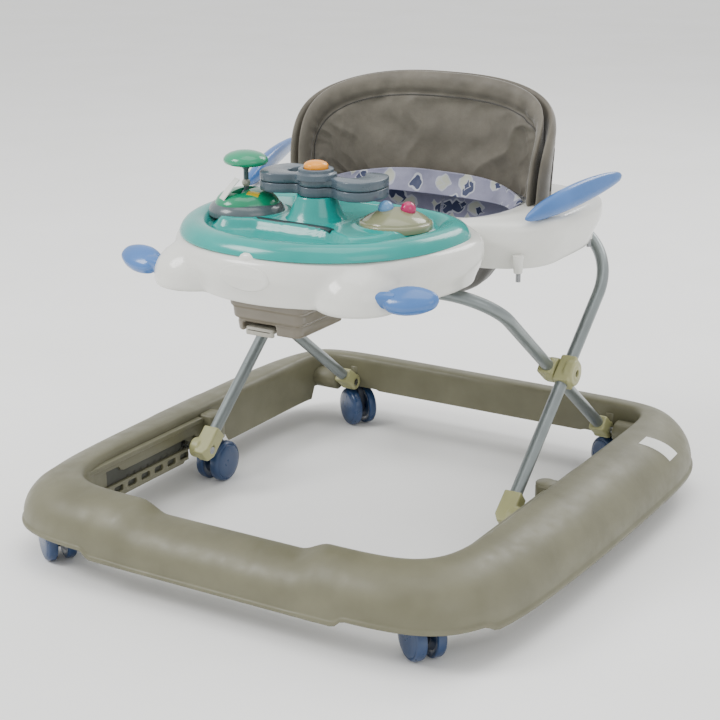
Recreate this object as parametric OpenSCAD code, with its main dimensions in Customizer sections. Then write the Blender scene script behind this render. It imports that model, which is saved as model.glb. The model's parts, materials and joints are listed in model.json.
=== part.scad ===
// Baby walker: a wide wheeled base ring, a folding scissor frame of two U-shaped tubes,
// and a play tray that carries a padded sling seat.
// Origin: on the floor under the middle of the base ring. Front is -Y, up is +Z.

/* [Base ring] */
// Overall width of the base ring, side to side
base_w = 688; // [670:1:700]
// Overall length of the base ring, front to back
base_l = 744; // [736:1:756]
// Height of the ring's outer lip above the floor
lip_z = 38; // [34:1:42]
// Height of the ring's crest above the floor
crest_z = 106; // [102:1:110]
// Half width of the opening inside the ring
inner_half_w = 264; // [262:1:268]
// Distance from the middle to the front and rear edges of the opening
inner_half_l = 303; // [300:1:306]
// Wall thickness of the moulded ring
ring_wall = 3; // [3:0.5:5]

/* [Casters] */
// Diameter of each caster wheel
wheel_d = 56; // [52:1:58]
// Width of each of the two wheels on a caster
wheel_w = 15; // [12:1:16]
// Spacing of the twin wheels, middle to middle
wheel_spacing = 27; // [26:1:29]
// Distance the axle trails behind the swivel stem
trail = 6; // [4:1:8]
// Radius of the swivel stem
stem_r = 5; // [4:0.5:5.5]

/* [Scissor frame] */
// Diameter of the frame tubes
tube_d = 16; // [15:0.5:16.5]
// Wall thickness of the frame tubes
tube_wall = 1.2; // [1:0.1:2]
// Half spacing of the outer tube frame, centre line
front_frame_x = 225; // [224:0.5:226]
// Half spacing of the inner tube frame, centre line
rear_frame_x = 204.5; // [203:0.5:205]
// Y of the scissor pivot
pivot_y = 107; // [106:0.5:108]
// Height of the scissor pivot
pivot_z = 206.5; // [205:0.5:208]
// Slope of the outer tubes above the horizontal, degrees
front_slope = 41; // [40.5:0.5:41.5]
// Slope of the inner tubes above the horizontal, degrees
rear_slope = 36.9; // [36.5:0.1:37.3]
// Pivot to front foot pin
front_leg = 212; // [210:1:214]
// Pivot to rear foot pin
rear_leg = 226; // [224:1:228]
// Bend radius of the outer tube frame
front_bend = 112; // [108:1:114]
// Bend radius of the inner tube frame
rear_bend = 62; // [58:1:66]

/* [Tray] */
// Height of the tray's lower edge
tray_low_z = 352; // [350:1:354]
// Height of the tray's deck
deck_z = 408; // [406:1:410]
// Half width of the front part at the deck
tray_half_w = 188; // [184:1:190]
// Half width across the two rear fenders
fender_half_w = 226; // [222:1:228]
// Wall thickness of the tray shell
tray_wall = 3; // [3:0.5:4.5]

/* [Toys] */
// Radius of the steering wheel's hub
hub_r = 22; // [21:0.5:23]
// Radius of each rounded grip of the steering wheel
grip_r = 20; // [17:0.5:20.5]
// Radius of the horn button
horn_r = 14.5; // [13:0.5:15]
// Travel of the horn button
horn_travel = 3; // [2:0.5:3]

/* [Seat] */
// Height of the top of the seat back
seat_top_z = 559; // [552:1:562]
// Half width of the seat back
seat_half_w = 188; // [184:1:190]
// Thickness of the padded seat back
seat_pad = 24; // [20:1:26]
// Height of the bottom of the seat sling
sling_low_z = 290; // [280:1:300]
// Thickness of the quilted sling
sling_wall = 5; // [4:0.5:7]

/* [Hidden] */
$fn = 64;

sweep_r = 43;
half_w = base_w / 2;
half_l = base_l / 2;
tube_r = tube_d / 2;
ring_steps = 72;
wheel_r = wheel_d / 2;

// Caster stem places and the direction of each axle at rest, right side; x is mirrored on the left
front_caster = [257, -316];
mid_caster = [250, 3];
rear_caster = [207, 309.5];
front_axle_angle = 55;
mid_axle_angle = 0;
rear_axle_angle = 238;
stem_low_z = 60;
stem_top_z = 88;

// Frame geometry that follows from the slopes and lengths
front_dir = [cos(front_slope), sin(front_slope)];
rear_dir = [-cos(rear_slope), sin(rear_slope)];
front_foot = [pivot_y - front_leg * front_dir[0], pivot_z - front_leg * front_dir[1]];
rear_foot = [pivot_y - rear_leg * rear_dir[0], pivot_z - rear_leg * rear_dir[1]];
front_straight = 122;
rear_straight = 158;
crossbar_y = pivot_y + (rear_straight + rear_bend) * rear_dir[0];
crossbar_z = pivot_z + (rear_straight + rear_bend) * rear_dir[1];
pin_r = 4;
foot_pin_r = 5;
running = 0.05;

// Track on each inner side wall
track_y0 = -258;
track_y1 = -12;
track_z0 = 44;
track_z1 = 94;
track_x = 258;
slot_half_h = 7;

// Tray places
tray_mid_y = -87;
tray_front = 195;
seat_hole = [0, 100];
box_y0 = -237;
box_y1 = -130;
box_z0 = 307;

// Toy places
column = [0, -124];
lever_toy = [-97, -128];
dome_toy = [96, -103];
panel_z = 424;
wheel_z0 = 452;
grip_z1 = 475;
wheel_z1 = 484;
grip_place = [52, 16];

function sgn(v) = v < 0 ? -1 : 1;

// Rounded plan outline: half width a, front and rear half lengths, corner exponents
function plan(a, bf, br, nf, nr, steps) = [for (i = [0 : steps - 1])
    let (t = 360 * i / steps, s = sin(t), c = cos(t), n = s < 0 ? nf : nr, b = s < 0 ? bf : br)
    [a * sgn(c) * pow(abs(c), 2 / n), b * sgn(s) * pow(abs(s), 2 / n)]];

module mirrored() {
    children();
    mirror([1, 0, 0]) children();
}

// Cylinder along X between two x values
module bar_x(x0, x1, y, z, r) {
    translate([x0, y, z]) rotate([0, 90, 0]) cylinder(r = r, h = x1 - x0);
}

// ---- Base ring -------------------------------------------------------------

module ring_slab(inset, inner_grow, z0, z1) {
    translate([0, 0, z0]) linear_extrude(z1 - z0) difference() {
        polygon(plan(half_w - inset, half_l - inset, half_l - inset, 4, 6, ring_steps));
        polygon(plan(inner_half_w + inner_grow, inner_half_l + inner_grow,
            inner_half_l + inner_grow, 8, 16, ring_steps));
    }
}

// Quarter-ellipse shoulder: how far the outer face leans in at height z
function lean(z) = 50 * (1 - sqrt(max(0, 1 - pow((z - lip_z) / (crest_z - lip_z), 2))));
function inner_lean(z) = z < crest_z - 18 ? 0 : 12 * pow((z - crest_z + 18) / 18, 2);

ring_levels = [lip_z, 54, 68, 80, 89, 96, 101, crest_z];

module ring_outer() {
    for (i = [0 : len(ring_levels) - 2])
        ring_slab(lean((ring_levels[i] + ring_levels[i + 1]) / 2),
            inner_lean((ring_levels[i] + ring_levels[i + 1]) / 2),
            ring_levels[i], ring_levels[i + 1]);
}

module ring_cavity() {
    ring_slab(ring_wall + lean(54), ring_wall, lip_z - 1, 56);
    ring_slab(ring_wall + lean(78), ring_wall, 55, 80);
    ring_slab(ring_wall + lean(94), ring_wall + 2, 79, 97);
}

// Clear round space for a caster to swivel under the ring
module wheel_well(p, r) {
    translate([p[0], p[1], lip_z - 2]) cylinder(r = r, h = stem_low_z - lip_z + 2);
}

module caster_boss(p, r) {
    translate([p[0], p[1], stem_low_z]) cylinder(r = r, h = 39);
}

module caster_bore(p) {
    translate([p[0], p[1], stem_low_z - 1]) cylinder(r = stem_r + running, h = 31);
}

module base_ring() color([0.53, 0.53, 0.46]) difference() {
    union() {
        difference() {
            ring_outer();
            ring_cavity();
            mirrored() {
                wheel_well(front_caster, 62);
                wheel_well(mid_caster, sweep_r);
                wheel_well(rear_caster, sweep_r);
            }
        }
        mirrored() {
            caster_boss(front_caster, 13);
            caster_boss(mid_caster, 13);
            caster_boss(rear_caster, 9);
            translate([239, mid_caster[1] - 13, stem_low_z]) cube([27, 26, 36]);
            bar_x(236, 272, rear_foot[0], rear_foot[1], 12);
        }
    }
    mirrored() {
        caster_bore(front_caster);
        caster_bore(mid_caster);
        caster_bore(rear_caster);
        bar_x(230, 262, rear_foot[0], rear_foot[1], foot_pin_r);
    }
}

module track_right() color([0.53, 0.53, 0.46]) difference() {
    translate([track_x, track_y0, track_z0])
        cube([inner_half_w - 1 - track_x, track_y1 - track_y0, track_z1 - track_z0]);
    // Long guide slot
    translate([track_x - 1, track_y0 + 64, front_foot[1] - slot_half_h])
        cube([20, track_y1 - track_y0 - 78, 2 * slot_half_h]);
    // Wide entry window at the front end
    translate([track_x - 1, track_y0 + 20, front_foot[1] - slot_half_h]) cube([20, 46, 22]);
    // Ladder of height notches below the slot
    for (i = [0 : 6])
        translate([track_x - 1, track_y0 + 24 + i * 28, track_z0 + 4]) cube([3.5, 20, 9]);
    wheel_well(mid_caster, sweep_r);
}

module track_left() mirror([1, 0, 0]) track_right();

module rear_hinge_pins() color("silver") mirrored()
    bar_x(194, 262, rear_foot[0], rear_foot[1], foot_pin_r);

module blank_label() color("white")
    translate([half_w - 22, 212, 81]) rotate([0, 48, 4]) cube([22, 24, 0.8], center = true);

// ---- Casters ---------------------------------------------------------------

// The swivel part: stem, flange and the hub block between the wheels
module fork(p, angle) translate([p[0], p[1], 0]) {
    translate([0, 0, stem_low_z - 2]) cylinder(r = stem_r, h = stem_top_z - stem_low_z);
    translate([0, 0, stem_low_z - 3.4]) cylinder(r = 11, h = 3);
    rotate([0, 0, angle]) difference() {
        union() {
            translate([-5, -8, wheel_r]) cube([10, 16 + trail, stem_low_z - 3 - wheel_r]);
            translate([0, trail, wheel_r]) rotate([0, 90, 0]) cylinder(r = 12, h = 10, center = true);
        }
        translate([0, trail, wheel_r]) rotate([0, 90, 0])
            cylinder(r = 3 + running, h = 12, center = true);
    }
}

// The rolling part: two wheels on one axle
module twin_wheels(p, angle) translate([p[0], p[1], wheel_r]) rotate([0, 0, angle])
translate([0, trail, 0]) rotate([0, 90, 0]) {
    cylinder(r = 3, h = wheel_spacing, center = true);
    for (s = [-1, 1]) rotate([0, 90 * (1 - s), 0])
        translate([0, 0, (wheel_spacing - wheel_w) / 2]) rotate_extrude()
            polygon([[0, 0], [wheel_r - 2, 0], [wheel_r, 2], [wheel_r, wheel_w - 6],
                [wheel_r - 6, wheel_w], [12, wheel_w], [10, wheel_w - 3], [0, wheel_w - 3]]);
}

function flip(p) = [-p[0], p[1]];
caster_blue = [0.23, 0.33, 0.49];

module fork_front_right() color(caster_blue) fork(front_caster, front_axle_angle);
module fork_front_left() color(caster_blue) fork(flip(front_caster), front_axle_angle);
module fork_mid_right() color(caster_blue) fork(mid_caster, mid_axle_angle);
module fork_mid_left() color(caster_blue) fork(flip(mid_caster), mid_axle_angle);
module fork_rear_right() color(caster_blue) fork(rear_caster, rear_axle_angle);
module fork_rear_left() color(caster_blue) fork(flip(rear_caster), rear_axle_angle);
module wheels_front_right() color(caster_blue) twin_wheels(front_caster, front_axle_angle);
module wheels_front_left() color(caster_blue) twin_wheels(flip(front_caster), front_axle_angle);
module wheels_mid_right() color(caster_blue) twin_wheels(mid_caster, mid_axle_angle);
module wheels_mid_left() color(caster_blue) twin_wheels(flip(mid_caster), mid_axle_angle);
module wheels_rear_right() color(caster_blue) twin_wheels(rear_caster, rear_axle_angle);
module wheels_rear_left() color(caster_blue) twin_wheels(flip(rear_caster), rear_axle_angle);

// ---- Scissor frame ---------------------------------------------------------

// One U-shaped rod lying in the plane of its slope. It starts at the foot,
// runs straight to the bend, turns through a quarter circle and crosses over.
module u_rod(x, leg, straight, bend, r) {
    mirrored() {
        translate([x, -leg, 0]) rotate([-90, 0, 0]) cylinder(r = r, h = leg + straight);
        translate([x - bend, straight, 0]) rotate_extrude(angle = 90)
            translate([bend, 0]) circle(r = r);
    }
    bar_x(bend - x, x - bend, straight + bend, 0, r);
}

// The same rod made hollow, open at both feet
module u_tube(x, leg, straight, bend) difference() {
    u_rod(x, leg, straight, bend, tube_r);
    u_rod(x, leg + 1, straight, bend, tube_r - tube_wall);
}

// Puts a tube drawn along +Y into its sloping place
module on_front_slope() translate([0, pivot_y, pivot_z]) rotate([front_slope, 0, 0]) children();
module on_rear_slope() translate([0, pivot_y, pivot_z])
    rotate([180 - rear_slope, 0, 0]) children();

module rear_tube_frame() color([0.70, 0.73, 0.73]) difference() {
    on_rear_slope() u_tube(rear_frame_x, rear_leg - 16, rear_straight, rear_bend);
    mirrored() bar_x(190, 220, pivot_y, pivot_z, pin_r);
}

module rear_foot_brackets() color([0.80, 0.80, 0.64])
    translate([0, rear_foot[0], rear_foot[1]]) rotate([180 - rear_slope, 0, 0]) mirrored()
    difference() {
        union() {
            translate([rear_frame_x - 11, -6, -10.6]) cube([22, 34, 21.2]);
            bar_x(rear_frame_x - 11, rear_frame_x + 11, 0, 0, 11.8);
        }
        bar_x(rear_frame_x - 12, rear_frame_x + 12, 0, 0, foot_pin_r + running);
        translate([rear_frame_x, 16, 0]) rotate([-90, 0, 0]) cylinder(r = tube_r, h = 20);
    }

module scissor_pins() color("silver") mirrored()
    bar_x(rear_frame_x - 8, front_frame_x + 13, pivot_y, pivot_z, pin_r);

module inner_pivot_blocks() color([0.80, 0.80, 0.64]) on_rear_slope() mirrored() difference() {
    union() {
        translate([rear_frame_x - 12, -17, -11]) cube([12, 34, 22]);
        bar_x(rear_frame_x + tube_r + 0.3, front_frame_x - tube_r - 2.5, 0, 0, 14);
    }
    rotate([-90, 0, 0]) translate([rear_frame_x, 0, -20]) cylinder(r = tube_r, h = 40);
    bar_x(rear_frame_x - 14, front_frame_x, 0, 0, pin_r);
}

module front_tube_frame() color([0.70, 0.73, 0.73]) difference() {
    on_front_slope() u_tube(front_frame_x, front_leg - 16, front_straight, front_bend);
    mirrored() bar_x(210, 240, pivot_y, pivot_z, pin_r + running);
}

module outer_pivot_blocks() color([0.80, 0.80, 0.64]) on_front_slope() mirrored() difference() {
    union() {
        translate([front_frame_x, -19, -12]) cube([12, 38, 24]);
        bar_x(front_frame_x + 2, front_frame_x + 15, 0, 0, 15);
    }
    rotate([-90, 0, 0]) translate([front_frame_x, 0, -25]) cylinder(r = tube_r, h = 50);
    bar_x(front_frame_x - 4, front_frame_x + 18, 0, 0, pin_r + running);
}

module front_foot_brackets() color([0.80, 0.80, 0.64])
    translate([0, front_foot[0], front_foot[1]]) rotate([front_slope, 0, 0]) mirrored()
    difference() {
        union() {
            translate([front_frame_x - 12, -10, -11]) cube([24, 40, 22]);
            bar_x(front_frame_x - 12, front_frame_x + 18, 0, 0, 13);
        }
        bar_x(front_frame_x - 14, front_frame_x + 20, 0, 0, foot_pin_r);
        translate([front_frame_x, 16, 0]) rotate([-90, 0, 0]) cylinder(r = tube_r, h = 20);
    }

module slider_pins() color("silver") mirrored()
    bar_x(front_frame_x - 12, 262, front_foot[0], front_foot[1], foot_pin_r);

// ---- Tray ------------------------------------------------------------------

tray_white = [0.88, 0.88, 0.86];

module front_tray_slab(grow, z0, z1) {
    translate([0, tray_mid_y, z0]) linear_extrude(z1 - z0)
        polygon(plan(tray_half_w + grow, tray_front + grow, 95, 2.3, 3, 64));
}

module rear_tray_slab(grow, z0, z1) {
    translate([0, 100, z0]) linear_extrude(z1 - z0)
        polygon(plan(fender_half_w + grow, 110 + grow, 168 + grow, 3, 5, 64));
}

module seat_hole_cut(z0, z1) {
    translate([0, seat_hole[1], z0]) linear_extrude(z1 - z0)
        polygon(plan(150, 104, 104, 3, 3, 48));
}

// Rounded bulges at the two front corners, which carry the front fins
module front_fender_slab(grow, z0, z1) {
    mirrored() translate([88, -209, z0]) cylinder(r = 50 + grow, h = z1 - z0);
}

// Outer form of the tray, or the hollow inside it when shrunk by the wall
module tray_form(shrink, z0, top_drop) {
    front_fender_slab(-shrink, z0, 380);
    front_tray_slab(-9 - shrink, z0, 379);
    front_tray_slab(-shrink, 378, deck_z - top_drop);
    rear_tray_slab(-9 - shrink, z0, 376);
    rear_tray_slab(-shrink, 375, deck_z + 5 - top_drop);
}

module tray_shell() color(tray_white) difference() {
    tray_form(0, tray_low_z, 0);
    difference() {
        tray_form(tray_wall, tray_low_z - 5, tray_wall);
        // Wall that stays around the seat hole
        translate([0, seat_hole[1], tray_low_z + 8]) linear_extrude(80)
            polygon(plan(154, 108, 108, 3, 3, 48));
    }
    seat_hole_cut(300, 440);
}

module crossbar_clamps() color([0.60, 0.57, 0.52]) mirrored() difference() {
    translate([56, crossbar_y - 17, crossbar_z - 13])
        cube([24, 34, deck_z - tray_wall - crossbar_z + 13]);
    bar_x(50, 90, crossbar_y, crossbar_z, tube_r + running);
}

module under_tray_box() color([0.60, 0.57, 0.52]) difference() {
    union() {
        translate([-45, box_y0, box_z0 + 12])
            cube([90, box_y1 - box_y0, deck_z - tray_wall - box_z0 - 12]);
        translate([-42, box_y0 + 6, box_z0]) cube([84, box_y1 - box_y0 - 6, 14]);
    }
    translate([-42, box_y0 + 3, box_z0 + 15]) cube([84, box_y1 - box_y0 - 6, 90]);
    // Recess that holds the release handle
    translate([-33, box_y0 + 3, box_z0 - 1]) cube([44, 40, 13]);
}

module release_pin() color("silver") bar_x(-35, 13, box_y0 + 36, box_z0 + 4, 1.5);

module release_handle() color([0.86, 0.85, 0.80]) difference() {
    union() {
        translate([-30, box_y0 + 5, box_z0 + 1]) cube([38, 34, 6]);
        translate([-30, box_y0 + 5, box_z0 - 3]) cube([38, 4, 6]);
        bar_x(-30, 8, box_y0 + 36, box_z0 + 4, 4);
    }
    bar_x(-31, 9, box_y0 + 36, box_z0 + 4, 1.55);
}

fin_blue = [0.47, 0.59, 0.80];

module front_fin() color(fin_blue) {
    hull() {
        translate([132, -238, 373]) sphere(r = 9, $fn = 32);
        translate([160, -260, 371]) sphere(r = 9, $fn = 32);
    }
    hull() {
        translate([166, -262, 370]) sphere(r = 13, $fn = 32);
        translate([184, -252, 372]) sphere(r = 15, $fn = 32);
        translate([202, -234, 376]) sphere(r = 12, $fn = 32);
    }
}

module rear_fin() color(fin_blue) hull() {
    translate([206, 48, 423]) sphere(r = 11, $fn = 32);
    translate([226, 116, 437]) sphere(r = 11, $fn = 32);
    translate([240, 186, 441]) sphere(r = 5, $fn = 32);
}

module front_fin_right() front_fin();
module front_fin_left() mirror([1, 0, 0]) front_fin();
module rear_fin_right() rear_fin();
module rear_fin_left() mirror([1, 0, 0]) rear_fin();

module front_badge() color("white") translate([0, tray_mid_y - tray_front - 0.5, 385])
    rotate([90, 0, 0]) intersection() {
        translate([0, 26, 0]) cylinder(r = 42, h = 2);
        translate([0, -26, 0]) cylinder(r = 42, h = 2);
    }

module tray_screws() color("silver") mirrored() for (y = [20, 230])
    translate([196, y, 340]) cylinder(r = 3, h = 10);

// ---- Toy panel and toys ----------------------------------------------------

teal = [0.0, 0.69, 0.66];
slate = [0.37, 0.42, 0.46];

module toy_panel() color(teal) difference() {
    union() {
        translate([0, tray_mid_y, deck_z]) linear_extrude(9)
            polygon(plan(175, 183, 85, 2.2, 2.6, 64));
        translate([0, tray_mid_y, deck_z + 8]) linear_extrude(panel_z - deck_z - 8)
            polygon(plan(160, 164, 72, 2.2, 2.6, 64));
    }
    translate([0, tray_mid_y, deck_z - 1]) linear_extrude(panel_z - deck_z - 3)
        polygon(plan(150, 154, 64, 2.2, 2.6, 64));
}

module steering_column() color(teal) translate([column[0], column[1], panel_z]) {
    cylinder(r = 34, h = 6);
    translate([0, 0, 6]) cylinder(r1 = 30, r2 = 24, h = 6);
    translate([0, 0, 12]) cylinder(r = 23, h = wheel_z0 - panel_z - 12.3);
    translate([0, 0, 12]) cylinder(r = 5, h = 36);
}

// Steering wheel seen from above: a hub and two rounded grips set back towards the seat
module grip_plan() {
    difference() {
        union() {
            circle(r = hub_r);
            mirrored() {
                translate(grip_place) circle(r = grip_r);
                polygon([[8, -18], [grip_place[0], -4], [grip_place[0], 14], [12, 12]]);
            }
        }
        circle(r = 5 + running);
    }
}

module steering_wheel_lower() color(slate) translate([column[0], column[1], wheel_z0])
    linear_extrude(12) grip_plan();

module steering_wheel_upper() color(slate) translate([column[0], column[1], wheel_z0 + 12])
difference() {
    union() {
        linear_extrude(grip_z1 - wheel_z0 - 12) grip_plan();
        translate([0, 0, 4]) difference() {
            cylinder(r = hub_r, h = wheel_z1 - wheel_z0 - 16);
            translate([0, 0, -1]) cylinder(r = 5 + running, h = 40);
        }
    }
    translate([0, 0, wheel_z1 - wheel_z0 - 20]) cylinder(r = horn_r + 0.3, h = 20);
}

module horn_button() color([0.98, 0.67, 0.08]) translate([column[0], column[1], 0]) {
    translate([0, 0, wheel_z1 - 2]) cylinder(r = horn_r, h = 7);
    translate([0, 0, wheel_z1 + 5]) cylinder(r1 = horn_r, r2 = horn_r - 4, h = 4);
}

// Small return spring under the horn button
module horn_spring() color("silver") translate([column[0], column[1], wheel_z1 - 7.9])
    difference() {
        cylinder(r = 12, h = 2.4);
        translate([0, 0, -1]) cylinder(r = 9, h = 5);
    }

module lever_toy_skirt() color([0.50, 0.54, 0.55]) translate([lever_toy[0], lever_toy[1], panel_z])
    cylinder(r1 = 45, r2 = 38, h = 9);

module lever_toy_body() color([0.0, 0.63, 0.50])
    translate([lever_toy[0], lever_toy[1], panel_z + 9]) difference() {
        cylinder(r1 = 38, r2 = 26, h = 16);
        translate([-6, -22, 3]) cube([12, 44, 20]);
        translate([-12, 0, 9]) rotate([0, 90, 0]) cylinder(r = 2.55, h = 24);
    }

module lever_toy_stem() color("white") translate([lever_toy[0], lever_toy[1], panel_z + 18]) {
    translate([0, 0, 4]) cylinder(r = 5, h = 33);
    rotate([0, 90, 0]) cylinder(r = 5.5, h = 10, center = true);
    rotate([0, 90, 0]) cylinder(r = 2.5, h = 22, center = true);
}

module lever_toy_handle() color([0.0, 0.63, 0.50])
    translate([lever_toy[0], lever_toy[1], panel_z + 55]) intersection() {
        translate([0, 0, -8]) sphere(r = 25.3);
        translate([-30, -30, 0]) cube([60, 60, 30]);
    }

module dome_toy_base() color([0.62, 0.62, 0.56]) translate([dome_toy[0], dome_toy[1], panel_z])
    difference() {
        cylinder(r1 = 42, r2 = 38, h = 8);
        translate([0, 0, 3]) cylinder(r = 30, h = 8);
    }

module dome_toy_cover() color([0.65, 0.65, 0.55])
    translate([dome_toy[0], dome_toy[1], panel_z + 8]) difference() {
        intersection() {
            translate([0, 0, -36]) sphere(r = 52);
            cylinder(r = 60, h = 30);
        }
        intersection() {
            translate([0, 0, -36]) sphere(r = 49);
            translate([0, 0, -1]) cylinder(r = 60, h = 30);
        }
        translate([-10, -6, -1]) cylinder(r = 10, h = 30);
        translate([14, 4, -1]) cylinder(r = 8.5, h = 30);
    }

module small_ball() color([0.85, 0.25, 0.60])
    translate([dome_toy[0] + 14, dome_toy[1] + 4, panel_z + 17]) sphere(r = 7.9);
module large_ball() color([0.45, 0.72, 0.95])
    translate([dome_toy[0] - 10, dome_toy[1] - 6, panel_z + 18]) sphere(r = 9.4);

// ---- Seat ------------------------------------------------------------------

fabric = [0.45, 0.43, 0.39];

// Front view of the seat back, used to trim the curved wall
module seat_front_view() {
    hull() {
        translate([-seat_half_w, 416]) square([2 * seat_half_w, 10]);
        translate([-seat_half_w, 470]) square([2 * seat_half_w, 10]);
        mirrored() translate([104, seat_top_z - 60]) circle(r = 60);
    }
}

module seat_back() color(fabric) intersection() {
    translate([0, 96, 416]) linear_extrude(160) difference() {
        polygon(plan(seat_half_w, 20, 112, 3, 2.6, 64));
        polygon(plan(seat_half_w - seat_pad, 40, 112 - seat_pad, 3, 2.6, 64));
        translate([-200, -60]) square([400, 56]);
    }
    translate([0, 300, 0]) rotate([90, 0, 0]) linear_extrude(400) seat_front_view();
}

module seat_liner() color([0.70, 0.70, 0.78]) translate([0, 96, 400]) linear_extrude(80)
    difference() {
        polygon(plan(seat_half_w - seat_pad - 16, 40, 112 - seat_pad - 1, 3, 2.6, 64));
        polygon(plan(seat_half_w - seat_pad - 22, 46, 104 - seat_pad - 1, 3, 2.6, 64));
        translate([-200, -60]) square([400, 76]);
    }

// Sling seat: a deep bowl with two leg holes. Its rim fits inside the seat hole.
module sling_form(wall) {
    hull() {
        translate([0, 0, sling_low_z + wall]) linear_extrude(1)
            polygon(plan(70 - wall, 62 - wall, 58 - wall, 2.6, 2.6, 32));
        translate([0, 0, 398]) linear_extrude(2)
            polygon(plan(148 - wall, 102 - wall, 102 - wall, 3, 3, 32));
    }
}

module seat_sling() color(fabric) translate([0, seat_hole[1], 0]) difference() {
    sling_form(0);
    translate([0, 0, 0.1]) sling_form(sling_wall);
    translate([0, 0, 395]) linear_extrude(10)
        polygon(plan(148 - sling_wall, 102 - sling_wall, 102 - sling_wall, 3, 3, 32));
    mirrored() translate([46, 0, sling_low_z + 50]) rotate([90, 0, 0]) cylinder(r = 33, h = 130);
}

base_ring();
track_left();
track_right();
rear_hinge_pins();
blank_label();
fork_front_left();
fork_front_right();
fork_mid_left();
fork_mid_right();
fork_rear_left();
fork_rear_right();
wheels_front_left();
wheels_front_right();
wheels_mid_left();
wheels_mid_right();
wheels_rear_left();
wheels_rear_right();
rear_tube_frame();
rear_foot_brackets();
scissor_pins();
inner_pivot_blocks();
front_tube_frame();
front_foot_brackets();
slider_pins();
outer_pivot_blocks();
tray_shell();
crossbar_clamps();
under_tray_box();
release_handle();
release_pin();
front_fin_left();
front_fin_right();
rear_fin_left();
rear_fin_right();
front_badge();
toy_panel();
steering_column();
steering_wheel_lower();
steering_wheel_upper();
horn_button();
horn_spring();
lever_toy_skirt();
lever_toy_body();
lever_toy_stem();
lever_toy_handle();
dome_toy_base();
dome_toy_cover();
small_ball();
large_ball();
seat_back();
seat_liner();
seat_sling();
tray_screws();
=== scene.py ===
"""The looks of a baby walker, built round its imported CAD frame.

Lengths in this script are millimetres; a mesh becomes metres when it is made. Places come from
the frame's boxes and joints. Front is -Y, up is +Z, and the right side is +X.
"""
import json
import math

import bpy
import bmesh
import numpy as np
from mathutils import Matrix, Vector


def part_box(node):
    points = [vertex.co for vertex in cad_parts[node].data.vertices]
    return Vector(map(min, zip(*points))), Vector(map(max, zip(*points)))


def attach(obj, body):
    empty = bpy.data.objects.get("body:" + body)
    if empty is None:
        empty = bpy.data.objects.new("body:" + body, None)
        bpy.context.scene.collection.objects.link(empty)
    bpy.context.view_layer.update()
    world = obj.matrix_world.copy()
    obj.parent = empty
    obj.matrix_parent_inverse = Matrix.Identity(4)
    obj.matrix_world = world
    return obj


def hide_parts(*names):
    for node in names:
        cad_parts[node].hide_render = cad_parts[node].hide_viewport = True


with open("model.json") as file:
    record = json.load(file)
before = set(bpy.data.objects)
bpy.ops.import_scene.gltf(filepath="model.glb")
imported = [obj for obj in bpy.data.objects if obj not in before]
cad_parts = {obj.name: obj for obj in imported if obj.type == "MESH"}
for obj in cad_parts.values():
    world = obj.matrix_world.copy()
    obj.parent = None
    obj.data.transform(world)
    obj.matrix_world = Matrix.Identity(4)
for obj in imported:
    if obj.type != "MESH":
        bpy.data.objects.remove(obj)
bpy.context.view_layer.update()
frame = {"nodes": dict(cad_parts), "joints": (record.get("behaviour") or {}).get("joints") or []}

MM = 0.001
TURN = 2 * math.pi
SIDES = (("right", 1), ("left", -1))


# ---- Places read from the frame ----------------------------------------------

def corners(node):
    """Lowest and highest corner of a CAD node, in millimetres."""
    lo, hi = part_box(node)
    return np.array(lo) / MM, np.array(hi) / MM


def middle(node):
    lo, hi = corners(node)
    return (lo + hi) / 2


def joint_at(name):
    joint = next(j for j in frame["joints"] if j["name"] == name)
    return np.array(joint["pos_m"]) / MM


RING_LO, RING_HI = corners("base_ring")
TRAY_LO, TRAY_HI = corners("tray_shell")
PANEL_LO, PANEL_HI = corners("toy_panel")
TRACK_LO, TRACK_HI = corners("track_right")
COLUMN = middle("steering_column")
LEVER = middle("lever_toy_skirt")
DOME = middle("dome_toy_base")
LEVER_PIVOT = joint_at("lever_tilt")
SCISSOR = joint_at("scissor")
REAR_FOOT = joint_at("fold")
CROSSBAR = joint_at("tray_level")
FRONT_FOOT = middle("slider_pins")
DECK_Z = PANEL_LO[2]
TUBE_R = 8


# ---- Mesh helpers --------------------------------------------------------------

def grid_faces(rows, cols, wrap_rows=False, wrap_cols=False):
    """Quads of a grid of rows times cols points, numbered row by row."""
    faces = []
    for i in range(rows if wrap_rows else rows - 1):
        for j in range(cols if wrap_cols else cols - 1):
            a, b = i * cols + j, i * cols + (j + 1) % cols
            k = (i + 1) % rows * cols
            faces.append((a, b, k + (j + 1) % cols, k + j))
    return faces


def two_sided(n, m):
    """Faces of two n by m grids of points, back to back, closed round their edge."""
    total = n * m
    faces = grid_faces(n, m)
    faces += [tuple(i + total for i in reversed(f)) for f in grid_faces(n, m)]
    rim = ([i * m for i in range(n)] + [(n - 1) * m + j for j in range(1, m)]
           + [i * m + m - 1 for i in range(n - 2, -1, -1)] + list(range(m - 2, 0, -1)))
    return faces + [(a, b, b + total, a + total) for a, b in zip(rim, rim[1:] + rim[:1])]


def loft(rings, closed=False, caps=True):
    """A skin over rings of points; closed joins the last ring to the first."""
    rings = np.asarray(rings, float)
    rows, cols = rings.shape[:2]
    verts = rings.reshape(-1, 3)
    faces = grid_faces(rows, cols, closed, True)
    if caps and not closed:
        faces.append(tuple(range(cols))[::-1])
        faces.append(tuple((rows - 1) * cols + j for j in range(cols)))
    return verts, faces


def lathe(profile, steps=48, at=(0, 0, 0)):
    """Turns a profile of (radius, z) points round a Z axis through at."""
    t = np.arange(steps) * TURN / steps
    rings = [np.stack([r * np.cos(t), r * np.sin(t), np.full(steps, z)], 1)
             for r, z in profile]
    verts, faces = loft(rings)
    return verts + np.array(at), faces


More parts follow.
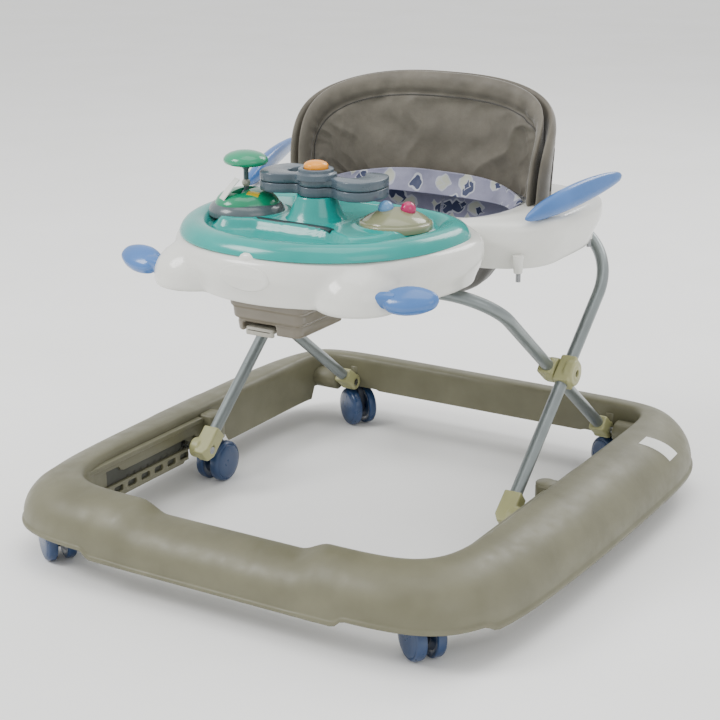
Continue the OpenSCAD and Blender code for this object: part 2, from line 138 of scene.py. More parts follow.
def block(lo, hi):
    verts = [(x, y, z) for x in (lo[0], hi[0]) for y in (lo[1], hi[1]) for z in (lo[2], hi[2])]
    faces = [(0, 1, 3, 2), (4, 6, 7, 5), (0, 4, 5, 1), (2, 3, 7, 6), (0, 2, 6, 4), (1, 5, 7, 3)]
    return np.array(verts, float), faces


def turned(part, matrix):
    """A part moved by a 4x4 matrix."""
    verts, faces = part
    m = np.array(matrix)
    return np.asarray(verts) @ m[:3, :3].T + m[:3, 3], faces


def rod_x(x0, x1, y, z, r, steps=40, chamfer=0.0):
    """A round bar along X, with chamfered ends."""
    c = min(chamfer, r * 0.5)
    profile = [(r - c, x0), (r, x0 + c), (r, x1 - c), (r - c, x1)]
    verts, faces = lathe(profile, steps)
    m = Matrix(((0, 0, 1, 0), (0, 1, 0, y), (-1, 0, 0, z), (0, 0, 0, 1)))
    return turned((verts, faces), m)


def mirror_x(part):
    verts, faces = part
    return np.asarray(verts) * (-1, 1, 1), [tuple(reversed(f)) for f in faces]


def joined(parts):
    verts, faces, count = [], [], 0
    for v, f in parts:
        verts.append(np.asarray(v, float))
        faces += [tuple(i + count for i in face) for face in f]
        count += len(v)
    return np.concatenate(verts), faces


def new_object(name, part):
    mesh = bpy.data.meshes.new(name)
    mesh.from_pydata((np.asarray(part[0], float) * MM).tolist(), [], [tuple(f) for f in part[1]])
    obj = bpy.data.objects.new(name, mesh)
    bpy.context.scene.collection.objects.link(obj)
    return obj


def tidy(obj, sharp=38):
    """Welds doubles, turns faces outwards, and shades smooth up to an angle."""
    bm = bmesh.new()
    bm.from_mesh(obj.data)
    bmesh.ops.remove_doubles(bm, verts=bm.verts, dist=1e-6)
    bmesh.ops.dissolve_degenerate(bm, edges=bm.edges, dist=1e-7)
    bmesh.ops.recalc_face_normals(bm, faces=bm.faces)
    for face in bm.faces:
        face.smooth = True
    limit = math.radians(sharp)
    for edge in bm.edges:
        edge.smooth = len(edge.link_faces) != 2 or edge.calc_face_angle(0) < limit
    bm.to_mesh(obj.data)
    bm.free()


def bake(obj):
    """Applies the modifiers of obj to its mesh."""
    graph = bpy.context.evaluated_depsgraph_get()
    made = bpy.data.meshes.new_from_object(obj.evaluated_get(graph))
    obj.modifiers.clear()
    obj.data = made


def fuse(obj, voxel, rounds=2, cutters=()):
    """One moulded skin over overlapping solids, with cutters taken out and edges eased."""
    remesh = obj.modifiers.new("fuse", "REMESH")
    remesh.mode = "VOXEL"
    remesh.voxel_size = voxel * MM
    bake(obj)
    for cutter in cutters:
        tool = new_object("cutter", cutter)
        tidy(tool)
        cut = obj.modifiers.new("cut", "BOOLEAN")
        cut.operation = "DIFFERENCE"
        cut.object = tool
        bake(obj)
        bpy.data.objects.remove(tool)
    if cutters:
        again = obj.modifiers.new("fuse", "REMESH")
        again.mode = "VOXEL"
        again.voxel_size = voxel * MM
    smooth = obj.modifiers.new("ease", "SMOOTH")
    smooth.factor = 0.5
    smooth.iterations = rounds
    bake(obj)


def slab(outlines, low, high, bevel):
    """A flat plate with bevelled edges: the first outline is its edge, the others are holes."""
    curve = bpy.data.curves.new("slab", "CURVE")
    curve.dimensions = "2D"
    curve.fill_mode = "BOTH"
    curve.extrude = (high - low) / 2 - bevel
    curve.bevel_depth = bevel
    curve.bevel_resolution = 2
    curve.offset = -bevel
    for number, outline in enumerate(outlines):
        points = np.asarray(outline, float)
        x, y = points[:, 0], points[:, 1]
        area = np.sum(x * np.roll(y, -1) - np.roll(x, -1) * y)
        if (area > 0) == (number > 0):
            points = points[::-1]
        spline = curve.splines.new("POLY")
        spline.points.add(len(points) - 1)
        for point, (px, py) in zip(spline.points, points):
            point.co = (px, py, 0, 1)
        spline.use_cyclic_u = True
    obj = bpy.data.objects.new("slab", curve)
    bpy.context.scene.collection.objects.link(obj)
    graph = bpy.context.evaluated_depsgraph_get()
    mesh = bpy.data.meshes.new_from_object(obj.evaluated_get(graph))
    verts = np.array([v.co for v in mesh.vertices])
    verts[:, 2] += (low + high) / 2
    faces = [tuple(p.vertices) for p in mesh.polygons]
    bpy.data.objects.remove(obj)
    return verts, faces


def rounded_rect(x0, x1, y0, y1, r, steps=8):
    """Outline of a rectangle with round corners."""
    r = min(r, (x1 - x0) / 2, (y1 - y0) / 2)
    points = []
    for cx, cy, start in ((x1 - r, y1 - r, 0), (x0 + r, y1 - r, 90),
                          (x0 + r, y0 + r, 180), (x1 - r, y0 + r, 270)):
        for t in np.radians(np.linspace(start, start + 90, steps)):
            points.append((cx + r * math.cos(t), cy + r * math.sin(t)))
    return points


def smooth_line(points, per_span=10, closed=True):
    """Catmull-Rom curve through control points."""
    p = np.asarray(points, float)
    n = len(p)
    out = []
    for i in range(n if closed else n - 1):
        if closed:
            a, b, c, d = p[i - 1], p[i], p[(i + 1) % n], p[(i + 2) % n]
        else:
            a, b, c, d = p[max(i - 1, 0)], p[i], p[i + 1], p[min(i + 2, n - 1)]
        for t in np.arange(per_span) / per_span:
            out.append(0.5 * (2 * b + (c - a) * t + (2 * a - 5 * b + 4 * c - d) * t ** 2
                              + (3 * b - a - 3 * c + d) * t ** 3))
    if not closed:
        out.append(p[-1])
    return np.array(out)


def tube(points, radius, steps=10, closed=False):
    """A round tube along a line of points."""
    p = np.asarray(points, float)
    ahead = np.roll(p, -1, 0) - np.roll(p, 1, 0)
    if not closed:
        ahead[0], ahead[-1] = p[1] - p[0], p[-1] - p[-2]
    ahead /= np.linalg.norm(ahead, axis=1)[:, None]
    up = np.array([0.03, 0.02, 1.0])
    side = np.cross(ahead, up)
    side /= np.linalg.norm(side, axis=1)[:, None]
    top = np.cross(side, ahead)
    t = np.arange(steps) * TURN / steps
    r = np.broadcast_to(np.asarray(radius, float), (len(p),))
    rings = p[:, None] + r[:, None, None] * (side[:, None] * np.cos(t)[None, :, None]
                                             + top[:, None] * np.sin(t)[None, :, None])
    return loft(rings, closed=closed)


def step(low, high, value):
    """Smooth step from 0 to 1."""
    t = np.clip((np.asarray(value, float) - low) / (high - low), 0, 1)
    return t * t * (3 - 2 * t)


def superellipse(theta, a, front, back, n_front, n_back):
    """Radius of a rounded plan outline in the direction theta; -Y is the front."""
    c, s = np.cos(theta), np.sin(theta)
    n = np.where(s < 0, n_front, n_back)
    b = np.where(s < 0, front, back)
    return (np.abs(c / a) ** n + np.abs(s / b) ** n) ** (-1 / n)


def outside(x, y, centre, a, front, back, n_front, n_back):
    """How far a point lies outside such an outline, along the line to its centre."""
    dx, dy = x - centre[0], y - centre[1]
    r = np.hypot(dx, dy)
    return r - superellipse(np.arctan2(dy, dx), a, front, back, n_front, n_back)


def blend_min(a, b, k):
    h = np.clip(0.5 + 0.5 * (b - a) / k, 0, 1)
    return b * (1 - h) + a * h - k * h * (1 - h)


def edge_radius(gap, centre, theta, far):
    """Radius of the outermost crossing of gap(x, y) = 0 in each direction theta."""
    r = np.linspace(far, 20, 260)
    x = centre[0] + np.cos(theta)[:, None] * r
    y = centre[1] + np.sin(theta)[:, None] * r
    g = gap(x, y)
    k = np.maximum(np.argmax(g < 0, axis=1), 1)
    rows = np.arange(len(theta))
    g0, g1 = g[rows, k - 1], g[rows, k]
    share = g0 / np.maximum(g0 - g1, 1e-9)
    return r[k - 1] + (r[k] - r[k - 1]) * share


# ---- Materials -----------------------------------------------------------------

def shader(name):
    material = bpy.data.materials.new(name)
    material.use_nodes = True
    tree = material.node_tree
    return material, tree, tree.nodes["Principled BSDF"]


def node(tree, kind, **values):
    made = tree.nodes.new(kind)
    for key, value in values.items():
        if hasattr(made, key):
            setattr(made, key, value)
        else:
            made.inputs[key.replace("_", " ")].default_value = value
    return made


DEPTH = 0.52
VIVID = 1.42


def linear(rgb, depth=DEPTH):
    """Scene-linear colour of an sRGB colour in 0..255, deepened to suit the studio light."""
    c = np.array(rgb, float) / 255
    low, high = c / 12.92, ((c + 0.055) / 1.055) ** 2.4
    c = np.where(c <= 0.04045, low, high)
    grey = c.mean()
    c = np.clip(grey + (c - grey) * VIVID, 0.002, 1) * depth
    return (*c, 1)


def noise(tree, scale, detail=3.0, roughness=0.55, source=None):
    made = node(tree, "ShaderNodeTexNoise", Scale=scale, Detail=detail, Roughness=roughness)
    if source is None:
        source = node(tree, "ShaderNodeTexCoord").outputs["Object"]
    tree.links.new(source, made.inputs["Vector"])
    return made.outputs["Fac"]


def ramp(tree, source, low, high, out_low=0.0, out_high=1.0):
    made = node(tree, "ShaderNodeMapRange")
    for key, value in (("From Min", low), ("From Max", high),
                       ("To Min", out_low), ("To Max", out_high)):
        made.inputs[key].default_value = value
    tree.links.new(source, made.inputs["Value"])
    return made.outputs["Result"]


def mix(tree, fac, a, b, kind="MIX"):
    """Mixes two colours, each a colour or an output."""
    made = node(tree, "ShaderNodeMix", data_type="RGBA", blend_type=kind)
    for socket, value in ((made.inputs["Factor"], fac), (made.inputs[6], a), (made.inputs[7], b)):
        if isinstance(value, (int, float)):
            socket.default_value = value
        elif isinstance(value, tuple):
            socket.default_value = value
        else:
            tree.links.new(value, socket)
    return made.outputs[2]


def bump(tree, shader_node, height, strength, distance, base=None):
    made = node(tree, "ShaderNodeBump")
    made.inputs["Strength"].default_value = strength
    made.inputs["Distance"].default_value = distance
    tree.links.new(height, made.inputs["Height"])
    if base is not None:
        tree.links.new(base, made.inputs["Normal"])
    tree.links.new(made.outputs["Normal"], shader_node.inputs["Normal"])
    return made.outputs["Normal"]


def plastic(name, rgb, rough=0.35, grain=0.1, coat=0.0, wear=0.25, scatter=0.0, mottle=0.06,
            depth=DEPTH):
    """Moulded plastic: slight clouding, a fine moulded grain, and paler worn edges."""
    material, tree, out = shader(name)
    colour = linear(rgb, depth)
    darker = tuple(c * (1 - mottle * 1.6) for c in colour[:3]) + (1,)
    paler = tuple(min(1, c * (1 + mottle) + 0.01) for c in colour[:3]) + (1,)
    cloud = ramp(tree, noise(tree, 14, 4), 0.35, 0.65)
    body = mix(tree, cloud, darker, paler)
    edges = node(tree, "ShaderNodeNewGeometry").outputs["Pointiness"]
    worn = tuple(min(1, c * 1.25 + 0.03) for c in colour[:3]) + (1,)
    edge = ramp(tree, edges, 0.53, 0.62, 0, wear)
    tree.links.new(mix(tree, edge, body, worn), out.inputs["Base Color"])
    smear = noise(tree, 45, 5, 0.6)
    tree.links.new(ramp(tree, smear, 0.3, 0.7, rough * 0.82, min(1, rough * 1.22)),
                   out.inputs["Roughness"])
    fine = noise(tree, 1500, 2)
    coarse = noise(tree, 120, 2)
    first = bump(tree, out, fine, grain, 0.0002)
    bump(tree, out, coarse, 0.03 + grain * 0.1, 0.0006, first)
    out.inputs["IOR"].default_value = 1.49
    out.inputs["Coat Weight"].default_value = coat
    out.inputs["Coat Roughness"].default_value = 0.08
    if scatter:
        out.inputs["Subsurface Weight"].default_value = scatter
        out.inputs["Subsurface Radius"].default_value = (0.004, 0.004, 0.004)
    return material


def metal(name, rgb, rough=0.3, metallic=0.85, streaks=0.15):
    """Painted or plated steel with faint drawn streaks and fine scratches."""
    material, tree, out = shader(name)
    colour = linear(rgb)
    cloud = ramp(tree, noise(tree, 30, 4), 0.3, 0.7)
    darker = tuple(c * (1 - streaks) for c in colour[:3]) + (1,)
    tree.links.new(mix(tree, cloud, darker, colour), out.inputs["Base Color"])
    out.inputs["Metallic"].default_value = metallic
    tree.links.new(ramp(tree, noise(tree, 200, 5, 0.65), 0.3, 0.7, rough * 0.8, rough * 1.25),
                   out.inputs["Roughness"])
    bump(tree, out, noise(tree, 900, 3), 0.06, 0.0002)
    out.inputs["Coat Weight"].default_value = 0.25
    out.inputs["Coat Roughness"].default_value = 0.2
    return material


def weave_height(tree, pitch):
    """Height of a plain weave in the UV map, which is in metres."""
    uv = node(tree, "ShaderNodeTexCoord").outputs["UV"]
    waves = []
    for turn in (0, math.pi / 2):
        place = node(tree, "ShaderNodeMapping")
        place.inputs["Rotation"].default_value = (0, 0, turn)
        tree.links.new(uv, place.inputs["Vector"])
        wave = node(tree, "ShaderNodeTexWave", wave_type="BANDS", bands_direction="X",
                    wave_profile="SIN")
        wave.inputs["Scale"].default_value = 0.314 / pitch
        wave.inputs["Distortion"].default_value = 0.6
        wave.inputs["Detail Scale"].default_value = 3
        tree.links.new(place.outputs["Vector"], wave.inputs["Vector"])
        waves.append(wave.outputs["Fac"])
    both = node(tree, "ShaderNodeMath", operation="MULTIPLY")
    tree.links.new(waves[0], both.inputs[0])
    tree.links.new(waves[1], both.inputs[1])
    return both.outputs[0]


def satin(name, rgb, print_colours=None):
    """Satin-woven fabric with soft creases; with print_colours it carries a pebble print."""
    material, tree, out = shader(name)
    colour = linear(rgb)
    pale = tuple(min(1, c * 1.22 + 0.01) for c in colour[:3]) + (1,)
    dark = tuple(c * 0.78 for c in colour[:3]) + (1,)
    body = mix(tree, ramp(tree, noise(tree, 26, 5), 0.3, 0.7), dark, pale)
    threads = noise(tree, 900, 2)
    body = mix(tree, ramp(tree, threads, 0.35, 0.65, 0, 0.25), body, dark)
    if print_colours:
        body = pebble_print(tree, body, print_colours)
    tree.links.new(body, out.inputs["Base Color"])
    tree.links.new(ramp(tree, noise(tree, 60, 4), 0.3, 0.7, 0.5, 0.68), out.inputs["Roughness"])
    creases = bump(tree, out, noise(tree, 38, 4, 0.5), 0.35, 0.003)
    threads_up = bump(tree, out, weave_height(tree, 0.0011), 0.3, 0.0002, creases)
    bump(tree, out, noise(tree, 2200, 2), 0.12, 0.0002, threads_up)
    out.inputs["Sheen Weight"].default_value = 0.35
    out.inputs["Sheen Roughness"].default_value = 0.35
    out.inputs["Specular IOR Level"].default_value = 0.45
    return material


def pebble_print(tree, body, colours):
    """Scattered rounded pebbles and sprigs, each with a pale outline: a generic print."""
    uv = node(tree, "ShaderNodeTexCoord").outputs["UV"]
    for scale, shift, exponent, reach in ((34, 0.0, 1.6, 0.36), (41, 3.7, 0.8, 0.30)):
        place = node(tree, "ShaderNodeMapping")
        place.inputs["Location"].default_value = (shift, shift * 0.7, 0)
        tree.links.new(uv, place.inputs["Vector"])
        wobble = node(tree, "ShaderNodeTexNoise", Scale=70.0, Detail=1.0)
        tree.links.new(place.outputs["Vector"], wobble.inputs["Vector"])
        moved = node(tree, "ShaderNodeMix", data_type="VECTOR")
        moved.inputs["Factor"].default_value = 0.012
        tree.links.new(place.outputs["Vector"], moved.inputs[4])
        tree.links.new(wobble.outputs["Color"], moved.inputs[5])
        cells = node(tree, "ShaderNodeTexVoronoi", distance="MINKOWSKI", voronoi_dimensions="2D")
        cells.inputs["Scale"].default_value = scale
        cells.inputs["Exponent"].default_value = exponent
        cells.inputs["Randomness"].default_value = 0.85
        tree.links.new(moved.outputs[1], cells.inputs["Vector"])
        pick = node(tree, "ShaderNodeSeparateColor")
        tree.links.new(cells.outputs["Color"], pick.inputs["Color"])
        shown = ramp(tree, pick.outputs["Green"], 0.30, 0.31)
        which = ramp(tree, pick.outputs["Red"], 0.62, 0.63)
        inner = ramp(tree, cells.outputs["Distance"], reach * 0.78, reach * 0.84, 1, 0)
        outer = ramp(tree, cells.outputs["Distance"], reach, reach * 1.06, 1, 0)
        navy, cream, rim = (linear(c) for c in colours)
        fill = mix(tree, which, navy, cream)
        for mask, ink in ((outer, rim), (inner, fill)):
            both = node(tree, "ShaderNodeMath", operation="MULTIPLY")
            tree.links.new(mask, both.inputs[0])
            tree.links.new(shown, both.inputs[1])
            body = mix(tree, both.outputs[0], body, ink)
    return body


BASE = plastic("base_olive_grey", (134, 132, 112), rough=0.44, grain=0.22, wear=0.12)
# Painted shade: a darkened copy of the base plastic, for the sheet behind the tracks' openings.
TRACK_PAINTED_SHADE = plastic("track_painted_shade", (70, 71, 62), rough=0.5, grain=0.25)
SLATE_BLUE = plastic("caster_slate_blue", (58, 80, 118), rough=0.3, grain=0.12, coat=0.15)
FORK_DARK = plastic("fork_dark", (34, 42, 58), rough=0.5, grain=0.2)
CREAM = plastic("bracket_cream", (205, 204, 163), rough=0.38, grain=0.15)
WHITE = plastic("tray_white", (234, 234, 229), rough=0.16, grain=0.03, coat=0.22, wear=0.05,
                mottle=0.02, depth=0.86)
BLUE = plastic("fin_blue", (118, 154, 214), rough=0.2, grain=0.04, coat=0.22, wear=0.2)
TEAL = plastic("panel_teal", (0, 184, 176), rough=0.2, grain=0.03, coat=0.22, wear=0.15)
GREEN = plastic("toy_green", (0, 168, 128), rough=0.18, grain=0.03, coat=0.22, wear=0.2)
SLATE = plastic("wheel_slate", (98, 110, 120), rough=0.28, grain=0.06, coat=0.2)
GREY = plastic("skirt_grey", (112, 124, 128), rough=0.25, grain=0.05, coat=0.3)
# Painted shade: a dark colour for the shaded inside of the toy panel's slot.
SLOT_PAINTED_SHADE = plastic("slot_painted_shade", (44, 60, 64), rough=0.35, grain=0.1)
ORANGE = plastic("horn_orange", (255, 168, 8), rough=0.2, grain=0.03, coat=0.15, depth=0.8)
DOME_SAND = plastic("dome_sand", (168, 170, 142), rough=0.14, grain=0.03, coat=0.22)
BALL_BLUE = plastic("ball_light_blue", (150, 190, 232), rough=0.12, grain=0.02, coat=0.22)
BALL_PINK = plastic("ball_magenta", (206, 14, 122), rough=0.12, grain=0.02, coat=0.22)
TAUPE = plastic("box_taupe", (150, 143, 130), rough=0.22, grain=0.05, coat=0.3)
IVORY = plastic("handle_ivory", (214, 211, 200), rough=0.3, grain=0.08)
PAPER = plastic("label_paper", (236, 236, 232), rough=0.6, grain=0.05, wear=0, depth=0.9)
YELLOW = plastic("sticker_yellow", (236, 208, 36), rough=0.3, grain=0.03, coat=0.3)
PAINTED = metal("tube_silver_paint", (176, 183, 183), rough=0.34, metallic=0.55)
STEEL = metal("pin_steel_plate", (188, 190, 192), rough=0.25, metallic=1.0)
FABRIC = satin("seat_taupe_satin", (126, 121, 111))
FABRIC_DARK = satin("sling_dark_satin", (82, 79, 74))
LINING = satin("liner_print", (170, 170, 190), ((58, 66, 98), (224, 226, 214), (226, 228, 236)))


# ---- Finishing a piece ---------------------------------------------------------

def piece(name, part, material, body, replaces=(), sharp=38):
    """Makes a piece of the walker, dresses it and lets it ride on its body."""
    obj = part if isinstance(part, bpy.types.Object) else new_object(name, part)
    obj.name = name
    tidy(obj, sharp)
    obj.data.materials.clear()
    obj.data.materials.append(material)
    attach(obj, body)
    if replaces:
        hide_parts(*replaces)
    return obj


def paint(name, material):
    """Gives a carried-over CAD node its material."""
    obj = frame["nodes"][name]
    obj.data.materials.clear()
    obj.data.materials.append(material)
    for face in obj.data.polygons:
        face.use_smooth = True


# ---- Base ring -----------------------------------------------------------------

RING_STEPS = 432
INNER_W, INNER_L = 264.0, 303.0
OUTER_W, OUTER_REAR, OUTER_FRONT = RING_HI[0] + 6, RING_HI[1], RING_HI[1] - 4
BARREL = 0.03
LIP_Z, CREST_Z = RING_LO[2], RING_HI[2]
WELL_LIP_Z = LIP_Z + 9
INNER_WELL_Z = LIP_Z + 21
REAR_WALL_Z = LIP_Z + 19
FRONT_DIP = 13
RING_SHELL = 3.0


def near_casters(x, y, names, reach, soft):
    """1 close to the casters named, falling to 0 past reach."""
    best = np.zeros_like(x)
    for name in names:
        for side, _ in SIDES:
            p = joint_at(f"swivel_{name}_{side}")
            best = np.maximum(best, 1 - step(reach - soft, reach, np.hypot(x - p[0], y - p[1])))
    return best


def ring_section():
    """Share of the way across, share of the height, for the skin of the ring's section."""
    skin = [(0.0, 0.0), (0.0, 0.25), (0.0, 0.55), (0.003, 0.80), (0.015, 0.90), (0.04, 0.96),
            (0.08, 0.99), (0.12, 1.0), (0.17, 0.999)]
    for t in np.radians(np.linspace(10, 84, 16)):
        skin.append((0.14 + 0.83 * math.sin(t) ** 0.98, 0.13 + 0.87 * math.cos(t) ** 0.94))
    skin += [(0.968, 0.14), (0.97, 0.105), (0.985, 0.09), (0.997, 0.075), (1.0, 0.05),
             (0.997, 0.015), (0.985, 0.0)]
    return skin


def barrel(x, y, w):
    """The sides bow outwards: the outer skin narrows towards the front."""
    return x * (1 - w * BARREL * (np.clip(60 - y, 0, None) / 300) ** 2)


def ring_rows(theta):
    """Rows of points round the ring, from the inner foot over the crest to the lip and back."""
    inner = superellipse(theta, INNER_W, INNER_L, INNER_L, 8, 16)
    outer = superellipse(theta, OUTER_W, OUTER_FRONT, OUTER_REAR, 7, 6)
    c, s = np.cos(theta), np.sin(theta)
    front = (s < 0) & (outer * np.abs(s) > INNER_L - 40)
    dip = np.where(front, FRONT_DIP * (1 - step(112, 158, np.abs(outer * c))), 0)
    crease = np.zeros_like(theta)
    for place in (-236, -165, -62, 58, 150):
        crease += np.where(front, np.exp(-((outer * c - place) / 4) ** 2), 0)
    lip = LIP_Z + (WELL_LIP_Z - LIP_Z) * near_casters(outer * c, outer * s, ["front"], 92, 12)
    foot = LIP_Z + (INNER_WELL_Z - LIP_Z) * near_casters(inner * c, inner * s,
                                                         ["mid", "rear"], 56, 18)
    rear_wall = (s > 0) & (inner * s > INNER_L - 30)
    foot = np.maximum(foot, np.where(rear_wall, REAR_WALL_Z, LIP_Z))
    crest = CREST_Z - dip
    rows = []
    for w, h in ring_section():
        low = foot * (1 - step(0.2, 0.8, w)) + lip * step(0.2, 0.8, w)
        r = inner + (outer - inner) * w
        z = low + (crest - low) * h - crease * 1.3 * math.exp(-((w - 0.55) / 0.3) ** 2)
        rows.append(np.stack([barrel(r * c, r * s, w), r * s, z], 1))
    return rows, inner, outer, foot, lip, crest


def base_ring_shell():
    theta = np.arange(RING_STEPS) * TURN / RING_STEPS
    rows, inner, outer, foot, lip, crest = ring_rows(theta)
    c, s = np.cos(theta), np.sin(theta)
    under = []
    for w, h in reversed(ring_section()[1:-1]):
        low = foot * (1 - step(0.2, 0.8, w)) + lip * step(0.2, 0.8, w)
        r = inner + RING_SHELL + (outer - inner - 2 * RING_SHELL) * min(w, 0.97)
        z = np.maximum(low + (crest - low) * h - RING_SHELL, low + 0.3)
        under.append(np.stack([barrel(r * c, r * s, w), r * s, z], 1))
    return loft(rows + under, closed=True)


def socket(r, top, at):
    """A caster's socket: a boss with a blind bore that clears the stem."""
    bore, low = 5.7, 60.8
    profile = [(bore, low), (r - 1.5, low), (r, low + 1.5), (r, top - 1), (r - 1, top),
               (0.4, top), (0.4, top - 3), (bore, top - 3)]
    t = np.arange(40) * TURN / 40
    rings = [np.stack([c * np.cos(t), c * np.sin(t), np.full(40, h)], 1) for c, h in profile]
    verts, faces = loft(rings, closed=True)
    return verts + np.array(at), faces


def ring_fittings():
    """Caster sockets, their ribs, and the moulded housings of the rear hinge pins."""
    parts = []
    for side, sign in SIDES:
        for name, r, top in (("front", 13, 90), ("mid", 13, 98), ("rear", 9, 90)):
            p = joint_at(f"swivel_{name}_{side}")
            parts.append(socket(r, top, (p[0], p[1], 0)))
        y, z = REAR_FOOT[1:]
        parts.append(rod_x(*sorted((sign * 222, sign * 276)), y, z, 15.5, 48, 3))
        p = joint_at(f"swivel_mid_{side}")
        rib = rounded_rect(239, 268, p[1] - 15, p[1] + 15, 9)
        bore = [(p[0] + 8 * math.cos(t), p[1] + 8 * math.sin(t))
                for t in np.arange(32) * TURN / 32]
        parts.append(slab([[(sign * x, y2) for x, y2 in rib], bore], 60, 97, 2.5))
    return joined(parts)


piece("base_ring_shell", joined([base_ring_shell(), ring_fittings()]), BASE, "base",
      ["base_ring"], sharp=50)


# ---- Tracks --------------------------------------------------------------------

def yz_plate(plate, sign):
    """Stands a plate drawn in (y, z) upright, its thickness running along X."""
    verts, faces = plate
    out = np.stack([sign * verts[:, 2], verts[:, 0], verts[:, 1]], 1)
    return out, faces


SWEEP_GAP = 34
SWEEP_TOP = 58.4


def track(sign):
    x0, x1 = TRACK_LO[0], TRACK_HI[0]
    y0, y1 = TRACK_LO[1], TRACK_HI[1]
    z0, z1 = TRACK_LO[2], TRACK_HI[2]
    slot_z = FRONT_FOOT[2]
    outer = [(y0 + 7, z0), (y1 - SWEEP_GAP, z0), (y1 - SWEEP_GAP, SWEEP_TOP), (y1, SWEEP_TOP),
             (y1, z1 - 7), (y1 - 7, z1), (y0 + 7, z1), (y0, z1 - 7), (y0, z0 + 7)]
    window = [(y0 + 20, slot_z - 5), (y0 + 22, slot_z - 7), (y1 - 20, slot_z - 7),
              (y1 - 15, slot_z - 4), (y1 - 14, slot_z), (y1 - 15, slot_z + 4),
              (y1 - 20, slot_z + 7), (y0 + 74, slot_z + 7), (y0 + 68, slot_z + 9),
              (y0 + 64, slot_z + 14), (y0 + 58, slot_z + 15), (y0 + 28, slot_z + 15),
              (y0 + 22, slot_z + 12), (y0 + 20, slot_z + 7)]
    notches = [rounded_rect(y0 + 25 + i * 28, y0 + 43 + i * 28, z0 + 4, z0 + 12, 2.5, 4)
               for i in range(7) if y0 + 43 + i * 28 < y1 - SWEEP_GAP]
    plate = yz_plate(slab([outer, window] + notches, x0, x1, 0.8), sign)
    ledge = yz_plate(slab([rounded_rect(y0 + 2, y1 - 2, z1 - 5, z1 + 1, 2.5)], x0 - 3, x1 + 1, 1),
                     sign)
    return joined([plate, ledge])


def track_shade_backing(sign):
    """A sheet with teeth behind the slot and the notches, coloured dark as painted shade for the
    shaded inside of the track.
    """
    y0, y1 = TRACK_LO[1], TRACK_HI[1]
    z = FRONT_FOOT[2]
    rail = slab([rounded_rect(y0 + 16, y1 - SWEEP_GAP - 1, TRACK_LO[2] + 2, z + 18, 5)],
                TRACK_HI[0] - 1.2, TRACK_HI[0] + 0.8, 0.4)
    teeth = [slab([rounded_rect(y0 + 84 + i * 14, y0 + 88 + i * 14, z - 6.5, z - 3.5, 1, 3)],
                  TRACK_HI[0] - 2.4, TRACK_HI[0], 0.4) for i in range(10)]
    return joined([yz_plate(p, sign) for p in [rail] + teeth])


for side, sign in SIDES:
    piece(f"track_plate_{side}", track(sign), BASE, "base", [f"track_{side}"])
    # The sheet behind each track's openings is painted dark as the shade inside the track.
    piece(f"track_shade_sheet_{side}", track_shade_backing(sign), TRACK_PAINTED_SHADE, "base")


def label_piece():
    """The plain paper label, curved to the ring's right side."""
    lo, hi = corners("blank_label")
    theta = np.linspace(math.atan2(lo[1] - 12, OUTER_W - 30), math.atan2(hi[1] - 6, OUTER_W - 30), 12)
    rows = np.array(ring_rows(theta)[0])
    heights = rows[:, 5, 2]
    order = [k for k in range(10, 30) if 74 < heights[k] < 103]
    skin = rows[order]
    out = skin + np.array([0.45, 0.0, 0.4])
    back = skin + np.array([-0.1, 0.0, -0.1])
    verts = np.concatenate([out.reshape(-1, 3), back.reshape(-1, 3)])
    return verts, two_sided(len(order), len(theta))


piece("blank_label_sheet", label_piece(), PAPER, "base", ["blank_label"])


# ---- Casters -------------------------------------------------------------------

def wheel_profile(r, w):
    """One caster wheel from its inner face to its domed hub cap, as (radius, distance out)."""
    skin = [(0.5, 2), (9, 2), (r - 9, 2), (r - 7, 0.6), (r - 2, 0), (r - 0.4, 0.8), (r, 2.4),
            (r, w - 6.5), (r - 0.7, w - 4.6), (r - 2.4, w - 3.0)]
    groove = [(r - 3.6, w - 2.6), (r - 4.2, w - 3.3), (r - 5.0, w - 2.2)]
    dome = [((r - 6) * math.cos(t), w - 2 + 2 * math.sin(t)) for t in np.linspace(0.2, 1.5, 8)]
    return skin + groove + dome + [(0.4, w)]


def twin_wheels(name):
    centre = joint_at(f"roll_{name}")
    axis = next(j for j in frame["joints"] if j["name"] == f"roll_{name}")["axis"]
    along = Vector(axis)
    across = Vector((0, 0, 1))
    third = along.cross(across)
    parts = []
    r = 28.0
    for sign in (1, -1):
        m = Matrix((third, across, along * sign)).transposed().to_4x4()
        m.translation = Vector(centre) + along * sign * 6
        verts, faces = lathe(wheel_profile(r, 15), 56)
        parts.append(turned((verts, faces), m))
        dent = slab([rounded_rect(-1.6, 1.6, -4, 4, 1.6, 6)], -0.2, 0.6, 0.2)
        spot = m @ Matrix.Translation((0, 14, 14.05))
        parts.append(turned(dent, spot))
    m = Matrix((third, across, along)).transposed().to_4x4()
    m.translation = Vector(centre)
    parts.append(turned(lathe([(2.9, -13), (2.9, 13)], 24), m))
    return joined(parts)


def fork_piece(name):
    """Stem, flange and the block between the wheels."""
    stem = joint_at(f"swivel_{name}")
    centre = joint_at(f"roll_{name}")
    axis = Vector(next(j for j in frame["joints"] if j["name"] == f"roll_{name}")["axis"])
    up = Vector((0, 0, 1))
    back = up.cross(axis)
    m = Matrix((axis, back, up)).transposed().to_4x4()
    m.translation = Vector((centre[0], centre[1], 0))
    outline = smooth_line([(-14, 50), (-13, 56.4), (0, 56.9), (7, 56.4), (12, 47), (13, 34),
                           (12, 24), (6, 17), (-3, 16), (-9, 20), (-11, 28), (-13, 40)], 8)
    verts, faces = slab([outline], -4.8, 4.8, 1.2)
    body = turned((np.stack([verts[:, 2], verts[:, 0], verts[:, 1]], 1), faces), m)
    top = lathe([(10, 56.4), (11, 57), (11, 59.2), (10.2, 59.8), (6, 59.8), (5, 60.6), (5, 84),
                 (4, 86), (0.5, 86)], 36, (stem[0], stem[1], 0))
    return joined([body, top])


